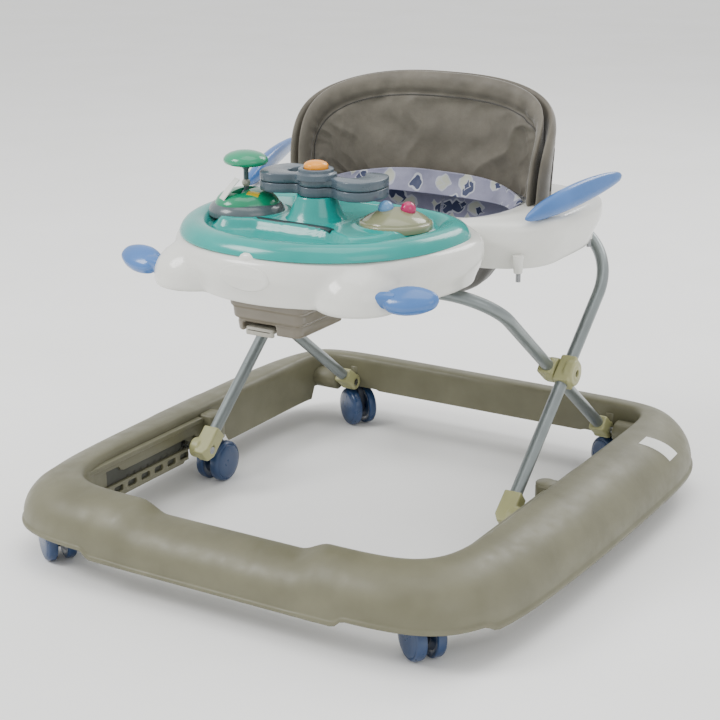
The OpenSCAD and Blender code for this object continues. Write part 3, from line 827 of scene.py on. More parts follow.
for spot in ("front", "mid", "rear"):
    for side, sign in SIDES:
        name = f"{spot}_{side}"
        piece(f"caster_wheels_{name}", twin_wheels(name), SLATE_BLUE, f"rollers_{name}",
              [f"wheels_{name}"], sharp=30)
        piece(f"caster_fork_{name}", fork_piece(name), FORK_DARK, f"caster_{name}",
              [f"fork_{name}"])


# ---- Scissor frame -------------------------------------------------------------

for name in ("rear_tube_frame", "front_tube_frame"):
    paint(name, PAINTED)
for name in ("scissor_pins", "slider_pins", "rear_hinge_pins", "release_pin", "tray_screws",
             "horn_spring"):
    paint(name, STEEL)


def slope(point, degrees):
    """Matrix that lays a shape drawn along +Y into a sloping tube's place."""
    return Matrix.Translation(Vector(point)) @ Matrix.Rotation(math.radians(degrees), 4, "X")


def tube_slope(foot):
    """Slope of a tube frame's legs, from its foot pin to the scissor pin."""
    d = SCISSOR - foot
    return math.degrees(math.atan2(d[2], d[1]))


FRONT_SLOPE = tube_slope(FRONT_FOOT)
REAR_SLOPE = tube_slope(REAR_FOOT)
OUTER_X = middle("front_foot_brackets")[0] + corners("front_tube_frame")[1][0] - TUBE_R
INNER_X = corners("rear_tube_frame")[1][0] - TUBE_R


def moulded(name, parts, cutters, matrix, sign, body, replaces=(), voxel=0.9, rounds=3):
    """A cream moulded bracket fused from simple solids, on one side."""
    def placed(part):
        part = part if sign > 0 else mirror_x(part)
        return turned(part, matrix)
    obj = new_object(name, joined([placed(p) for p in parts]))
    fuse(obj, voxel, rounds, [placed(c) for c in cutters])
    return piece(name, obj, CREAM, body, replaces, sharp=60)


for side, sign in SIDES:
    x = OUTER_X
    sleeve = slab([rounded_rect(x - 9.6, x + 12, -19, 19, 2.5)], -11.5, 11.5, 2)
    disc = rod_x(x + 2, x + 14.8, 0, 0, 16.5, 48, 1.5)
    collar = rod_x(x + 14, x + 15.6, 0, 0, 8.5, 40, 0.4)
    hole = rod_x(x + 10.5, x + 20, 0, 0, 4.6, 32)
    moulded(f"outer_pivot_block_{side}", [sleeve, disc, collar], [hole],
            slope(SCISSOR, FRONT_SLOPE), sign, "front_frame",
            ["outer_pivot_blocks"] if side == "right" else ())
    x = INNER_X
    sleeve = slab([rounded_rect(x - 12, x + 6, -17, 17, 2.5)], -11, 11, 2)
    disc = rod_x(x - 3, x + 9.9, 0, 0, 16, 48, 1.0)
    pocket = [rod_x(x - 14, x - 9, 0, 0, 4.6, 32)]
    moulded(f"inner_pivot_block_{side}", [sleeve, disc], pocket,
            slope(SCISSOR, REAR_SLOPE), sign, "rear_frame",
            ["inner_pivot_blocks"] if side == "right" else ())
    x = OUTER_X
    sleeve = slab([[(x - 11.5, 30), (x + 11.5, 30), (x + 12, -2), (x + 7, -13), (x - 6, -13),
                    (x - 12, -4)]], -11, 11, 2)
    disc = rod_x(x + 4, x + 18, 0, 0, 13.5, 48, 1.5)
    hole = rod_x(x - 14, x - 8, 4, 0, 3.4, 24)
    moulded(f"front_foot_bracket_{side}", [sleeve, disc], [hole],
            slope(FRONT_FOOT * (0, 1, 1), FRONT_SLOPE), sign, "front_frame",
            ["front_foot_brackets"] if side == "right" else ())
    x = INNER_X
    sleeve = slab([rounded_rect(x - 11, x + 11, -6, 28, 2.5)], -10.6, 10.6, 2)
    disc = rod_x(x - 11, x + 11, 0, 0, 11.8, 48, 1.5)
    hole = rod_x(x - 14, x - 8.5, 0, 0, 6.2, 28)
    moulded(f"rear_foot_bracket_{side}", [sleeve, disc], [hole],
            slope(REAR_FOOT, REAR_SLOPE), sign, "rear_frame",
            ["rear_foot_brackets"] if side == "right" else ())


# ---- Tray ----------------------------------------------------------------------

TRAY_STEPS = 400
SEAT_HOLE = np.array([0.0, 100.0])
HOLE_SHAPE = (150, 104, 104, 3, 3)
FRONT_AT = np.array([0.0, -87.0])
FENDER_AT = np.array([111.0, -214.0])
FENDER_R = 48.0
TRAY_SKIN = 3.0

# Height above the tray's lower edge, how far each form stands out there: front, rear, fender
TRAY_LEVELS = [(0, -14, -13, -1.5), (1.5, -13, -12, 0), (5, -12, -11, 1.2), (12, -9, -9, 1.5),
               (20, -5, -5, 0.5), (27, -2, -2, -2.5), (34, 0, 0, -7), (40, 0, 0.3, -13),
               (45, -0.8, 0, -20), (49, -2.4, -1.2, -28), (52, -4.6, -3.4, -37),
               (54.2, -8, -7, -47), (55.4, -12, -12, -58), (56, -18, -18, -70)]


def tray_gap(front, rear, fender):
    def gap(x, y):
        g_front = outside(x, y, FRONT_AT, 188 + front, 191 + front, 95, 2.0, 3)
        g_rear = outside(x, y, SEAT_HOLE, 226 + rear, 110 + rear, 168 + rear, 3, 5)
        g = blend_min(g_front, g_rear, 17)
        for sign in (1, -1):
            bulge = np.hypot(x - sign * FENDER_AT[0], y - FENDER_AT[1]) - (FENDER_R + fender)
            g = blend_min(g, bulge, 5)
        return g
    return gap


def deck_rise(y):
    """The rear of the deck stands a little higher than the front."""
    return (TRAY_HI[2] - DECK_Z) * step(-60, 60, y)


def tray_skin(inset):
    """Rows from the lower edge up the side and in over the deck to the seat hole."""
    theta = np.arange(TRAY_STEPS) * TURN / TRAY_STEPS
    c, s = np.cos(theta), np.sin(theta)
    rows = []
    for height, front, rear, fender in TRAY_LEVELS:
        r = edge_radius(tray_gap(front, rear, fender), SEAT_HOLE, theta, 420) - inset
        y = SEAT_HOLE[1] + r * s
        z = TRAY_LO[2] + height + deck_rise(y) * height / 56 - (inset if height > 40 else 0)
        rows.append(np.stack([r * c, y, z], 1))
    hole = superellipse(theta, *HOLE_SHAPE) + inset
    edge = r
    for share in (0.2, 0.4, 0.6, 0.8, 0.93):
        r = edge + (hole + 7 - edge) * share
        y = SEAT_HOLE[1] + r * s
        crown = 2.5 * math.sin(math.pi * share)
        rear_crown = np.where(y > 0, crown, 0) * step(0, 60, y)
        rows.append(np.stack([r * c, y, DECK_Z + deck_rise(y) + rear_crown - inset], 1))
    for out, down in ((6, 0.0), (3, 0.4), (1, 2.0), (0, 5.0), (0, 14), (0, 26)):
        r = hole + out
        y = SEAT_HOLE[1] + r * s
        rows.append(np.stack([r * c, y, DECK_Z + deck_rise(y) - down - inset], 1))
    return rows


def tray_part():
    outer, inner = tray_skin(0.0), tray_skin(TRAY_SKIN)
    shell = loft(outer + inner[::-1], closed=True)
    bump_at = (0, PANEL_LO[1] + 14, DECK_Z - 6)
    thumb = lathe([(17, 0), (17, 4), (16, 7.5), (13.5, 10.2), (9, 12), (4, 12.8), (0.3, 13)], 40,
                  bump_at)
    lo, hi = corners("tray_screws")
    ends = [(x, y) for x in (lo[0] + 4, hi[0] - 4) for y in (lo[1] + 4, hi[1] - 4)]
    bosses = [lathe([(4.6, hi[2] + 0.3), (5.4, hi[2] + 1.2), (7, hi[2] + 22)], 32, (x, y, 0))
              for x, y in ends]
    return joined([shell, thumb] + bosses)


piece("tray_moulding", tray_part(), WHITE, "tray", ["tray_shell"], sharp=48)


def badge_part():
    """A plain lens-shaped boss that follows the curved front of the tray."""
    lo, hi = corners("front_badge")
    half_w, half_h = (hi[0] - lo[0]) / 2, (hi[2] - lo[2]) / 2
    mid_z = (lo[2] + hi[2]) / 2
    rings = []
    t = np.arange(64) * TURN / 64
    for grow, out in ((1.0, -6), (1.0, 0.6), (0.97, 1.5), (0.92, 1.9), (0.86, 1.5), (0.5, 1.4),
                      (0.02, 1.4)):
        x = half_w * grow * np.cos(t)
        z = mid_z + half_h * grow * np.sin(t)
        front = 191 * (1 - np.abs(x / 188) ** 2.0) ** (1 / 2.0)
        side_in = np.interp(z - TRAY_LO[2], [v[0] for v in TRAY_LEVELS], [v[1] for v in TRAY_LEVELS])
        rings.append(np.stack([x, FRONT_AT[1] - front - side_in - out, z], 1))
    return loft(rings)


piece("oval_badge", badge_part(), WHITE, "tray", ["front_badge"])


# ---- Fins ----------------------------------------------------------------------

def blade(stations, steps=36, power=2.4):
    """A loft of rounded sections: each station is centre, half width, half height, tilt."""
    p = smooth_line([s[0] for s in stations], 6, closed=False)
    sizes = smooth_line([s[1:] for s in stations], 6, closed=False)
    t = np.arange(steps) * TURN / steps
    cs, sn = np.cos(t), np.sin(t)
    ex = np.sign(cs) * np.abs(cs) ** (2 / power)
    ey = np.sign(sn) * np.abs(sn) ** (2 / power)
    ahead = np.gradient(p, axis=0)
    ahead /= np.linalg.norm(ahead, axis=1)[:, None]
    side = np.cross(ahead, [0, 0, 1.0])
    side /= np.linalg.norm(side, axis=1)[:, None]
    up = np.cross(side, ahead)
    rings = []
    for k in range(len(p)):
        w, h, tilt = sizes[k]
        a = math.radians(tilt)
        u = side[k] * math.cos(a) + up[k] * math.sin(a)
        v = up[k] * math.cos(a) - side[k] * math.sin(a)
        rings.append(p[k] + np.outer(ex, u) * max(w, 0.05) + np.outer(ey, v) * max(h, 0.05))
    return loft(rings)


def front_fin(sign):
    """A stub out of the fender, and a paddle."""
    stub = blade([((134, -236, 369), 7, 9, -20), ((146, -234, 370), 7.5, 9.5, -20),
                  ((158, -231, 371), 8, 10, -24), ((168, -229, 371), 8, 10, -28)])
    paddle = blade([((153, -231, 370), 2, 2, -36), ((155.5, -231, 370), 8, 6, -36),
                    ((163, -229, 370.5), 14.5, 9.5, -36), ((178, -225.5, 372), 18, 11, -36),
                    ((194, -222, 373.5), 16.5, 10.5, -36), ((206, -219, 374.5), 12, 8.5, -36),
                    ((212.5, -217.5, 375), 7.5, 5.5, -36), ((215.5, -217, 375.2), 1, 1, -36)])
    parts = [stub, paddle]
    return joined([p if sign > 0 else mirror_x(p) for p in parts])


def rear_fin(sign):
    """A swept blade standing on the rear fender, thick at its foot and thin at its tip."""
    part = blade([((203, 22, 418), 1.5, 2, 0), ((205, 32, 419), 5, 6, 0),
                  ((210, 55, 423), 8, 10.5, 6), ((219, 88, 429), 9, 13.5, 10),
                  ((227, 122, 434), 8.5, 14, 12), ((234, 156, 438), 7, 12.5, 12),
                  ((240, 186, 441), 5, 9.5, 10), ((243, 205, 442), 3.5, 6, 8),
                  ((244, 213, 442), 1, 1.5, 8)])
    return part if sign > 0 else mirror_x(part)


for side, sign in SIDES:
    piece(f"front_fin_paddle_{side}", front_fin(sign), BLUE, "tray",
          [f"front_fin_{side}"], sharp=60)
    piece(f"rear_fin_blade_{side}", rear_fin(sign), BLUE, "tray",
          [f"rear_fin_{side}"], sharp=60)


# ---- Under-tray box ------------------------------------------------------------

def box_piece():
    lo, hi = corners("under_tray_box")
    levels = [(lo[2], 42, 8), (lo[2] + 1.5, 43.5, 6.5), (lo[2] + 12, 44.5, 5.5),
              (lo[2] + 13.5, 43.5, 6.5), (lo[2] + 15, 43.5, 6.5), (lo[2] + 17, 47.5, 2.5),
              (lo[2] + 30, 48.5, 1.5), (lo[2] + 31.5, 50.5, -0.5), (lo[2] + 60, 51.5, -1.5)]
    rings = []
    for z, half, inset in levels:
        outline = rounded_rect(-half, half, lo[1] + inset, hi[1] - inset * 0.3, 9, 10)
        rings.append([(x, y, z) for x, y in outline])
    return loft(rings)


box_obj = new_object("box", box_piece())
box_lo = corners("under_tray_box")[0]
handle_recess = block((-34, box_lo[1] - 6, box_lo[2] - 2), (12, box_lo[1] + 40, box_lo[2] + 12))
fuse(box_obj, 1.4, 1, [handle_recess])
piece("under_tray_housing", box_obj, TAUPE, "tray", ["under_tray_box"], sharp=50)


def handle_piece():
    """The release handle: finger pad, front lip, hinge barrel and grip ribs."""
    lo, hi = corners("release_handle")
    pad = slab([rounded_rect(lo[0], hi[0], lo[1], hi[1] - 5, 4)], lo[2] + 4, lo[2] + 10, 1.6)
    lip = slab([rounded_rect(lo[0], hi[0], lo[1], lo[1] + 6, 2.5)], lo[2], lo[2] + 8, 1.5)
    barrel = rod_x(lo[0], hi[0], hi[1] - 4, lo[2] + 7, 4, 32, 0.6)
    ribs = [slab([rounded_rect(lo[0] + 4, hi[0] - 4, y, y + 2, 1)], lo[2] + 3, lo[2] + 5, 0.6)
            for y in np.arange(lo[1] + 10, hi[1] - 10, 5)]
    return joined([pad, lip, barrel] + ribs)


piece("release_lever_handle", handle_piece(), IVORY, "release",
      ["release_handle"])


def clamp_piece():
    """Two saddles that hold the crossbar under the tray, each with its screw."""
    parts = []
    hi = corners("crossbar_clamps")[1]
    y, z = CROSSBAR[1:]
    bore = [(y + 8.15 * math.cos(t), z + 8.15 * math.sin(t)) for t in np.arange(40) * TURN / 40]
    outline = [(y - 17, hi[2]), (y - 17, z - 4)]
    outline += [(y + 17 * math.cos(t), z - 4 + 10 * math.sin(t))
                for t in np.linspace(math.pi, TURN, 16)[1:-1]]
    outline += [(y + 17, z - 4), (y + 17, hi[2])]
    for _, sign in SIDES:
        parts.append(yz_plate(slab([outline, bore], 56, 80, 1.5), sign))
        screw = lathe([(3.6, 0), (3.6, 1.2), (2.8, 2), (0.2, 2.1)], 24)
        flip = Matrix.Rotation(math.pi, 4, "X")
        flip.translation = Vector((sign * 68, y - 12.5, z - 8))
        parts.append(turned(screw, flip))
    return joined(parts)


piece("crossbar_saddles", clamp_piece(), TAUPE, "tray", ["crossbar_clamps"])


# ---- Toy panel -----------------------------------------------------------------

PANEL_AT = FRONT_AT
PANEL_STEPS = 220
PANEL_TOP = PANEL_HI[2]
BASIN_Z = PANEL_TOP - 12
LEDGE_Y = -168.0

PANEL_RIM = [(1.0, -0.5), (1.0, 1.5), (0.994, 4.5), (0.983, 8.2), (0.967, 11.6), (0.945, 14.2),
             (0.918, 15.8), (0.89, 16.4), (0.862, 16.0), (0.838, 14.0), (0.818, 11.0),
             (0.80, 8.0), (0.785, 5.5)]


def panel_height(x, y):
    """Height of the panel inside its rim: basin, rear plateau, and rings round the toys."""
    ledge = LEDGE_Y - 0.62 * np.clip(x - 42, 0, None)
    plateau = step(-5, 2, y - ledge)
    z = BASIN_Z + (PANEL_TOP - BASIN_Z) * plateau
    for toy, r, rise in ((LEVER, 49, 1.6), (DOME, 47, 2.2)):
        d = np.hypot(x - toy[0], y - toy[1])
        z = np.maximum(z, PANEL_TOP * (1 - step(r + 3, r + 12, d)) + z * step(r + 3, r + 12, d))
        z = z + rise * np.exp(-((d - r) / 3.0) ** 2)
    d = np.hypot(x - COLUMN[0], y - COLUMN[1])
    z = z + (PANEL_TOP + 0.6 - z) * (1 - step(39, 46, d))
    return z


def panel_part():
    theta = np.arange(PANEL_STEPS) * TURN / PANEL_STEPS
    r = superellipse(theta, 175, 183, 85, 2.2, 2.6)
    c, s = np.cos(theta), np.sin(theta)
    rows = [np.stack([r * 0.93 * c, PANEL_AT[1] + r * 0.93 * s, np.full_like(r, DECK_Z - 0.5)], 1)]
    for share, height in PANEL_RIM:
        x, y = r * share * c, PANEL_AT[1] + r * share * s
        rows.append(np.stack([x, y, np.full_like(r, DECK_Z + height)], 1))
    rim_z = DECK_Z + PANEL_RIM[-1][1]
    for share in np.linspace(0.77, 0.02, 52):
        x, y = r * share * c, PANEL_AT[1] + r * share * s
        fade = step(0.785, 0.72, share)
        rows.append(np.stack([x, y, rim_z * (1 - fade) + panel_height(x, y) * fade], 1))
    return loft(rows)


piece("toy_panel_moulding", panel_part(), TEAL, "tray", ["toy_panel"], sharp=60)


def slot_part():
    """The guide slot along the edge of the basin: a dark strip and rail that paint the shade inside
    the slot.
    """
    ends = [(-66, LEDGE_Y + 9), (-34, LEDGE_Y + 7), (8, LEDGE_Y + 7), (38, LEDGE_Y + 5),
            (50, LEDGE_Y - 2)]
    path = smooth_line(ends, 10, closed=False)
    z = np.full(len(path), PANEL_TOP - 1.8)
    line = np.column_stack([path, z])
    wide = tube(line, 4.6, 16)
    verts, faces = wide
    verts[:, 2] = (verts[:, 2] - (PANEL_TOP - 1.8)) * 0.6 + PANEL_TOP - 1.2
    rail = tube(line + (0, 0, 1.4), 1.3, 10)
    return joined([(verts, faces), rail])


# The dark strip and rail paint the shade inside the slot.
piece("slot_shade_strip", slot_part(), SLOT_PAINTED_SHADE, "tray", sharp=60)


# ---- Steering column, wheel and horn -------------------------------------------

WHEEL_LO, WHEEL_HI = corners("steering_wheel_lower")
UPPER_LO, UPPER_HI = corners("steering_wheel_upper")
GRIP_TOP = UPPER_HI[2] - 9


def column_part():
    z0, z1 = PANEL_TOP, WHEEL_LO[2] - 0.3
    profile = [(38, z0 - 3), (37, z0 + 0.4), (34.5, z0 + 3), (32, z0 + 7), (29.8, z0 + 12),
               (27.6, z0 + 17.5), (25.6, z0 + 22), (24.4, z0 + 25), (24, z1 - 1.2), (23.2, z1),
               (5, z1), (5, z1 + 20), (0.3, z1 + 20)]
    return lathe(profile, 72, (COLUMN[0], COLUMN[1], 0))


piece("column_flare", column_part(), TEAL, "tray", ["steering_column"])


def wheel_outline():
    """Steering wheel from above: a hub, and two horn-shaped grips swept towards the seat."""
    right = [(12, -17), (19, -9), (27, -8), (38, -15), (52, -19), (66, -16), (76, -5), (80, 13),
             (78, 33), (71, 47), (59, 52), (47, 50), (42, 43), (47, 34), (50, 24), (48, 13),
             (40, 7), (29, 9), (19, 11), (12, 18)]
    left = [(-x, y) for x, y in reversed(right)]
    return smooth_line([(0, -21)] + right + [(0, 22)] + left, 5)


def wheel_half(low, high):
    outline = wheel_outline()
    verts, faces = slab([outline], low, high, 1.6)
    return verts + np.array([COLUMN[0], COLUMN[1], 0]), faces


piece("wheel_lower_half", wheel_half(WHEEL_LO[2], WHEEL_HI[2] - 0.5), SLATE, "steering_wheel",
      ["steering_wheel_lower"])

collar = lathe([(15.2, UPPER_HI[2] - 7), (15.2, UPPER_HI[2] - 0.6), (15.9, UPPER_HI[2]),
                (19.6, UPPER_HI[2]), (20.8, UPPER_HI[2] - 0.8), (21.2, UPPER_HI[2] - 4),
                (22.4, UPPER_HI[2] - 5), (24.5, UPPER_HI[2] - 6), (25, UPPER_HI[2] - 12),
                (15.2, UPPER_HI[2] - 12)], 64, (COLUMN[0], COLUMN[1], 0))
piece("wheel_upper_half", joined([wheel_half(UPPER_LO[2], GRIP_TOP), collar]), SLATE,
      "steering_wheel", ["steering_wheel_upper"])

HORN_LO, HORN_HI = corners("horn_button")
horn_r = (HORN_HI[0] - HORN_LO[0]) / 2
piece("horn_cap", lathe([(0.3, HORN_LO[2]), (horn_r - 0.5, HORN_LO[2]), (horn_r, HORN_LO[2] + 0.5),
                         (horn_r, HORN_HI[2] - 6.5)]
                        + [(horn_r * math.cos(t), HORN_HI[2] - 6 + 6 * math.sin(t))
                           for t in np.linspace(0.12, 1.52, 10)] + [(0.3, HORN_HI[2])],
                        56, (COLUMN[0], COLUMN[1], 0)),
      ORANGE, "horn", ["horn_button"], sharp=50)


# ---- Lever toy -----------------------------------------------------------------

def oval_lathe(profile, at, stretch=1.0, turn=0.0, steps=64):
    """A lathe shape stretched along a turned X."""
    verts, faces = lathe(profile, steps)
    verts = verts * (stretch, 1, 1)
    m = Matrix.Rotation(math.radians(turn), 4, "Z")
    m.translation = Vector(at)
    return turned((verts, faces), m)


z = PANEL_TOP
piece("lever_skirt", oval_lathe([(46, z - 4), (46, z + 0.5), (45.4, z + 3), (43.5, z + 6.5),
                                 (40.5, z + 9.6), (37, z + 11.5), (30, z + 12.2), (0.4, z + 12.2)],
                                (LEVER[0], LEVER[1], 0)),
      GREY, "tray", ["lever_toy_skirt"])


def lever_body():
    """A rounded dome on a wavy edge, with a slot for the lever."""
    t = np.arange(96) * TURN / 96
    wave = 1 + 0.035 * np.sin(3 * t + 0.6)
    rings = []
    for r, h in ((38.5, 9.0), (38.8, 10.5), (37.6, 13.0), (35.2, 16.5), (31.5, 20.0),
                 (26.5, 22.8), (20.5, 24.6), (13, 25.6), (6, 26), (0.4, 26.1)):
        rr = r * (1 + (wave - 1) * step(26, 12, h))
        rings.append(np.stack([LEVER[0] + rr * np.cos(t), LEVER[1] + rr * np.sin(t),
                               np.full(len(t), z + h)], 1))
    return loft(rings)


body_obj = new_object("lever_body", lever_body())
cutter = new_object("cutter", joined([block((LEVER[0] - 6.4, LEVER[1] - 23, z + 13),
                                            (LEVER[0] + 6.4, LEVER[1] + 23, z + 60))]))
tidy(cutter)
cut = body_obj.modifiers.new("cut", "BOOLEAN")
cut.operation = "DIFFERENCE"
cut.object = cutter
bake(body_obj)
bpy.data.objects.remove(cutter)
piece("lever_dome", body_obj, GREEN, "tray", ["lever_toy_body"], sharp=40)

STEM_LO, STEM_HI = corners("lever_toy_stem")
stem_parts = [lathe([(3.2, STEM_LO[2] + 4), (3.2, STEM_HI[2] - 6), (5.5, STEM_HI[2] - 3),
                     (5.5, STEM_HI[2])], 28, (LEVER[0], LEVER[1], 0)),
              rod_x(LEVER[0] - 5, LEVER[0] + 5, LEVER_PIVOT[1], LEVER_PIVOT[2], 5.4, 32, 0.6),
              rod_x(LEVER[0] - 10.5, LEVER[0] + 10.5, LEVER_PIVOT[1], LEVER_PIVOT[2], 2.45, 24)]
piece("lever_stem", joined(stem_parts), GREY, "lever", ["lever_toy_stem"])

handle_z = corners("lever_toy_handle")[0][2]
piece("lever_knob", oval_lathe([(0.3, handle_z), (15, handle_z), (21, handle_z + 0.4),
                                (24.2, handle_z + 2), (25.6, handle_z + 4.6),
                                (25.2, handle_z + 7.4), (22.8, handle_z + 10.8),
                                (18.4, handle_z + 13.6), (12, handle_z + 15.8),
                                (6, handle_z + 16.8), (0.3, handle_z + 17.2)],
                               (LEVER[0], LEVER[1], 0), 1.12, -14),
      GREEN, "lever", ["lever_toy_handle"], sharp=50)


def strap_part():
    """The white guide strip that slopes down over the front of the dome."""
    path = smooth_line([(LEVER[0] + 2, LEVER[1] - 21, z + 41), (LEVER[0] - 2, LEVER[1] - 25, z + 35),
                        (LEVER[0] - 7, LEVER[1] - 29, z + 27),
                        (LEVER[0] - 13, LEVER[1] - 33, z + 17)], 6, closed=False)
    across = np.array([0.86, -0.5, 0.0]) * 6.5
    up = np.array([0.0, 0.0, 0.9])
    rings = [[p - across - up, p + across - up, p + across + up, p - across + up] for p in path]
    return loft(rings)


piece("lever_strip", strap_part(), WHITE, "tray")

clear_ball = lathe([(5.2 * math.sin(t), z + 33 - 5.2 * math.cos(t))
                    for t in np.linspace(0.05, 3.09, 14)], 28, (LEVER[0], LEVER[1], 0))
piece("lever_bead", clear_ball, IVORY, "lever")


def sticker_part():
    """A plain yellow sticker lying on the dome."""
    n = 8
    u, v = np.meshgrid(np.linspace(-8, 8, n), np.linspace(-5.5, 5.5, n), indexing="ij")
    x, y = 19 + u * 0.8 - v * 0.3, -13 + u * 0.35 + v * 0.9
    r = np.hypot(x, y)
    h = np.interp(r, [0, 6, 13, 20.5, 26.5, 31.5, 35.2], [26.1, 26, 25.6, 24.6, 22.8, 20, 16.5])
    top = np.stack([LEVER[0] + x, LEVER[1] + y, z + h + 0.35], 2).reshape(-1, 3)
    low = top - (0, 0, 0.7)
    return np.concatenate([top, low]), two_sided(n, n)


piece("plain_sticker", sticker_part(), YELLOW, "tray")


# ---- Dome toy ------------------------------------------------------------------

piece("dome_ring", lathe([(43, z - 4), (43, z + 1.5), (42.4, z + 3), (41, z + 4), (39.4, z + 4.6),
                          (38, z + 4.2), (36, z + 3), (0.4, z + 3)], 72, (DOME[0], DOME[1], 0)),
      DOME_SAND, "tray", ["dome_toy_base"])


def dome_cover():
    """A shallow cone with a soft saddle between its two ball windows."""
    t = np.arange(96) * TURN / 96
    profile = [(39.5, 3.6), (39.2, 5.0), (37.5, 6.8), (34, 9.2), (29, 11.8), (23, 14.2),
               (17, 16.2), (11, 17.6), (5, 18.3), (0.4, 18.5)]
    rings = []
    for r, h in profile:
        x, y = r * np.cos(t), r * np.sin(t)
        saddle = 1.6 * np.exp(-((x * 0.6 - y * 0.8) / 7) ** 2) * step(36, 18, r)
        rings.append(np.stack([DOME[0] + x, DOME[1] + y, z + h + saddle], 1))
    return loft(rings)


piece("dome_cone", dome_cover(), DOME_SAND, "tray", ["dome_toy_cover"], sharp=60)


def ball(name, radius, lift):
    p = middle(name)
    profile = [(radius * math.sin(t), -radius * math.cos(t)) for t in np.linspace(0.04, 3.10, 28)]
    return lathe(profile, 48, (p[0], p[1], p[2] + lift))


piece("ball_blue_bead", ball("large_ball", 9.6, 0), BALL_BLUE, "blue_ball",
      ["large_ball"], sharp=60)
piece("ball_pink_bead", ball("small_ball", 9.2, 1), BALL_PINK, "pink_ball",
      ["small_ball"], sharp=60)


# ---- Seat back -----------------------------------------------------------------

SEAT_LO, SEAT_HI = corners("seat_back")
SEAT_MID_Y = 96.0
SEAT_HALF = 174.0
SEAT_DEPTH = 99.0
SEAT_BASE = SEAT_LO[2] - 4
SEAT_TOP = SEAT_HI[2]


def seat_path():
    """Middle line of the seat back in plan, by arc length from its middle: points, lengths."""
    t = np.linspace(-0.5 * math.pi, 0.5 * math.pi, 721)
    x = SEAT_HALF * np.sign(np.sin(t)) * np.abs(np.sin(t)) ** (2 / 2.7)
    y = SEAT_MID_Y + SEAT_DEPTH * np.abs(np.cos(t)) ** (2 / 2.7)
    p = np.stack([x, y], 1)
    d = np.concatenate([[0], np.cumsum(np.linalg.norm(np.diff(p, axis=0), axis=1))])
    return p, d - d[-1] / 2


PATH, PATH_S = seat_path()
HALF_LEN = PATH_S[-1]


def on_path(s):
    """Plan point and outward normal at arc length s."""
    p = np.stack([np.interp(s, PATH_S, PATH[:, k]) for k in (0, 1)], -1)
    q = np.stack([np.interp(s + 2, PATH_S, PATH[:, k]) - np.interp(s - 2, PATH_S, PATH[:, k])
                  for k in (0, 1)], -1)
    q /= np.linalg.norm(q, axis=-1)[..., None]
    return p, np.stack([-q[..., 1], q[..., 0]], -1)


def arch(u):
    """Outline of the flattened seat back: arc length and height at u from -1 to 1."""
    t = u * math.pi / 2
    s = HALF_LEN * np.sign(np.sin(t)) * np.abs(np.sin(t)) ** (2 / 2.5)
    h = (SEAT_TOP - SEAT_BASE) * np.abs(np.cos(t)) ** (2 / 2.9)
    return s, h


def seat_back_part(cols=190, rows=40):
    """A closed pillow: a rolled rim along its arch, a stitched seam, and a gathered panel."""
    u = np.linspace(-1, 1, cols)
    s_rim, h_rim = arch(u)
    ds, dh = np.gradient(s_rim), np.gradient(h_rim)
    norm = np.hypot(ds, dh)
    inward = np.stack([dh / norm, -ds / norm], 1)
    band = 30.0
    k = np.concatenate([band * (1 - np.cos(np.linspace(0, math.pi / 2, 9))), [band + 3, band + 7]])
    depth = np.concatenate([k, np.zeros(rows - len(k))])
    share = np.concatenate([np.zeros(len(k)), np.linspace(0, 1, rows - len(k) + 1)[1:]])
    flat = np.zeros((cols, rows, 2))
    for j in range(rows):
        edge = np.stack([s_rim, h_rim], 1) + inward * min(depth[j] if depth[j] else k[-1], k[-1])
        foot = np.stack([s_rim * 0.62, np.zeros(cols)], 1)
        flat[:, j] = edge * (1 - share[j]) + foot * share[j]
    flat[..., 1] = np.maximum(flat[..., 1], 0)
    d = np.where(depth > 0, depth, k[-1] + share * 90)
    d[0] = 0
    roll = 12.5 * np.sqrt(np.clip(1 - (1 - np.clip(d / 14, 0, 1)) ** 2, 0, 1))
    seam = np.exp(-((d - band) / 3.4) ** 2)
    puff = np.where(d > band, 2.5 * np.sin(np.clip((d - band) / 90, 0, 1) * math.pi), 0)
    pleat = np.zeros((cols, rows))
    folds = ((43, 0.4, 2.2, 26), (61, 1.9, 1.3, 20), (23, 2.6, 3.4, 60), (13, 0.7, 6.0, 120),
             (8, 4.1, 4.5, 170))
    for count, phase, size, reach in folds:
        lean = (0.30 * np.sin(2.6 * u + phase)[:, None] * share[None, :]
                + 0.05 * np.sin(9 * share + phase)[None, :])
        fade = np.where(d > band, np.exp(-(d - band) / reach) * step(band, band + 9, d), 0)
        strength = 1 + 0.6 * np.sin(3.3 * u + 2 * phase)
        crest = 0.45 - np.abs(np.sin(0.5 * (count * (u[:, None] + lean) + phase))) ** 0.8
        pleat += size * strength[:, None] * crest * fade[None, :]
    band_gather = 0.9 * np.sin(67 * u + 1.1 * np.sin(9 * u)) * (1 + 0.4 * np.sin(23 * u))
    on_band = np.exp(-((d - band * 0.8) / 8) ** 2)
    pleat += band_gather[:, None] * on_band[None, :]
    inner = np.broadcast_to(roll + puff - 5.5 * seam, (cols, rows)) + pleat
    outer = np.broadcast_to(roll - 1.5 * seam + 0.4 * puff, (cols, rows)) + 0.25 * pleat
    p, n = on_path(flat[..., 0])
    lean_back = flat[..., 1] * 0.05
    sides = []
    for off in (outer, -inner):
        place = p + n * (off + lean_back)[..., None]
        sides.append(np.concatenate([place, (SEAT_BASE + flat[..., 1])[..., None]], -1))
    verts = np.concatenate([v.reshape(-1, 3) for v in sides])
    uv = np.concatenate([flat.reshape(-1, 2), flat.reshape(-1, 2) + (900, 0)]) * MM
    seam_rows = [j for j in range(rows) if abs(d[j] - band) < 4]
    return verts, two_sided(cols, rows), uv, seam_rows, (cols, rows)


def set_uv(obj, uv):
    layer = obj.data.uv_layers.new(name="cloth")
    index = np.array([loop.vertex_index for loop in obj.data.loops])
    layer.data.foreach_set("uv", uv[index].astype(np.float32).ravel())


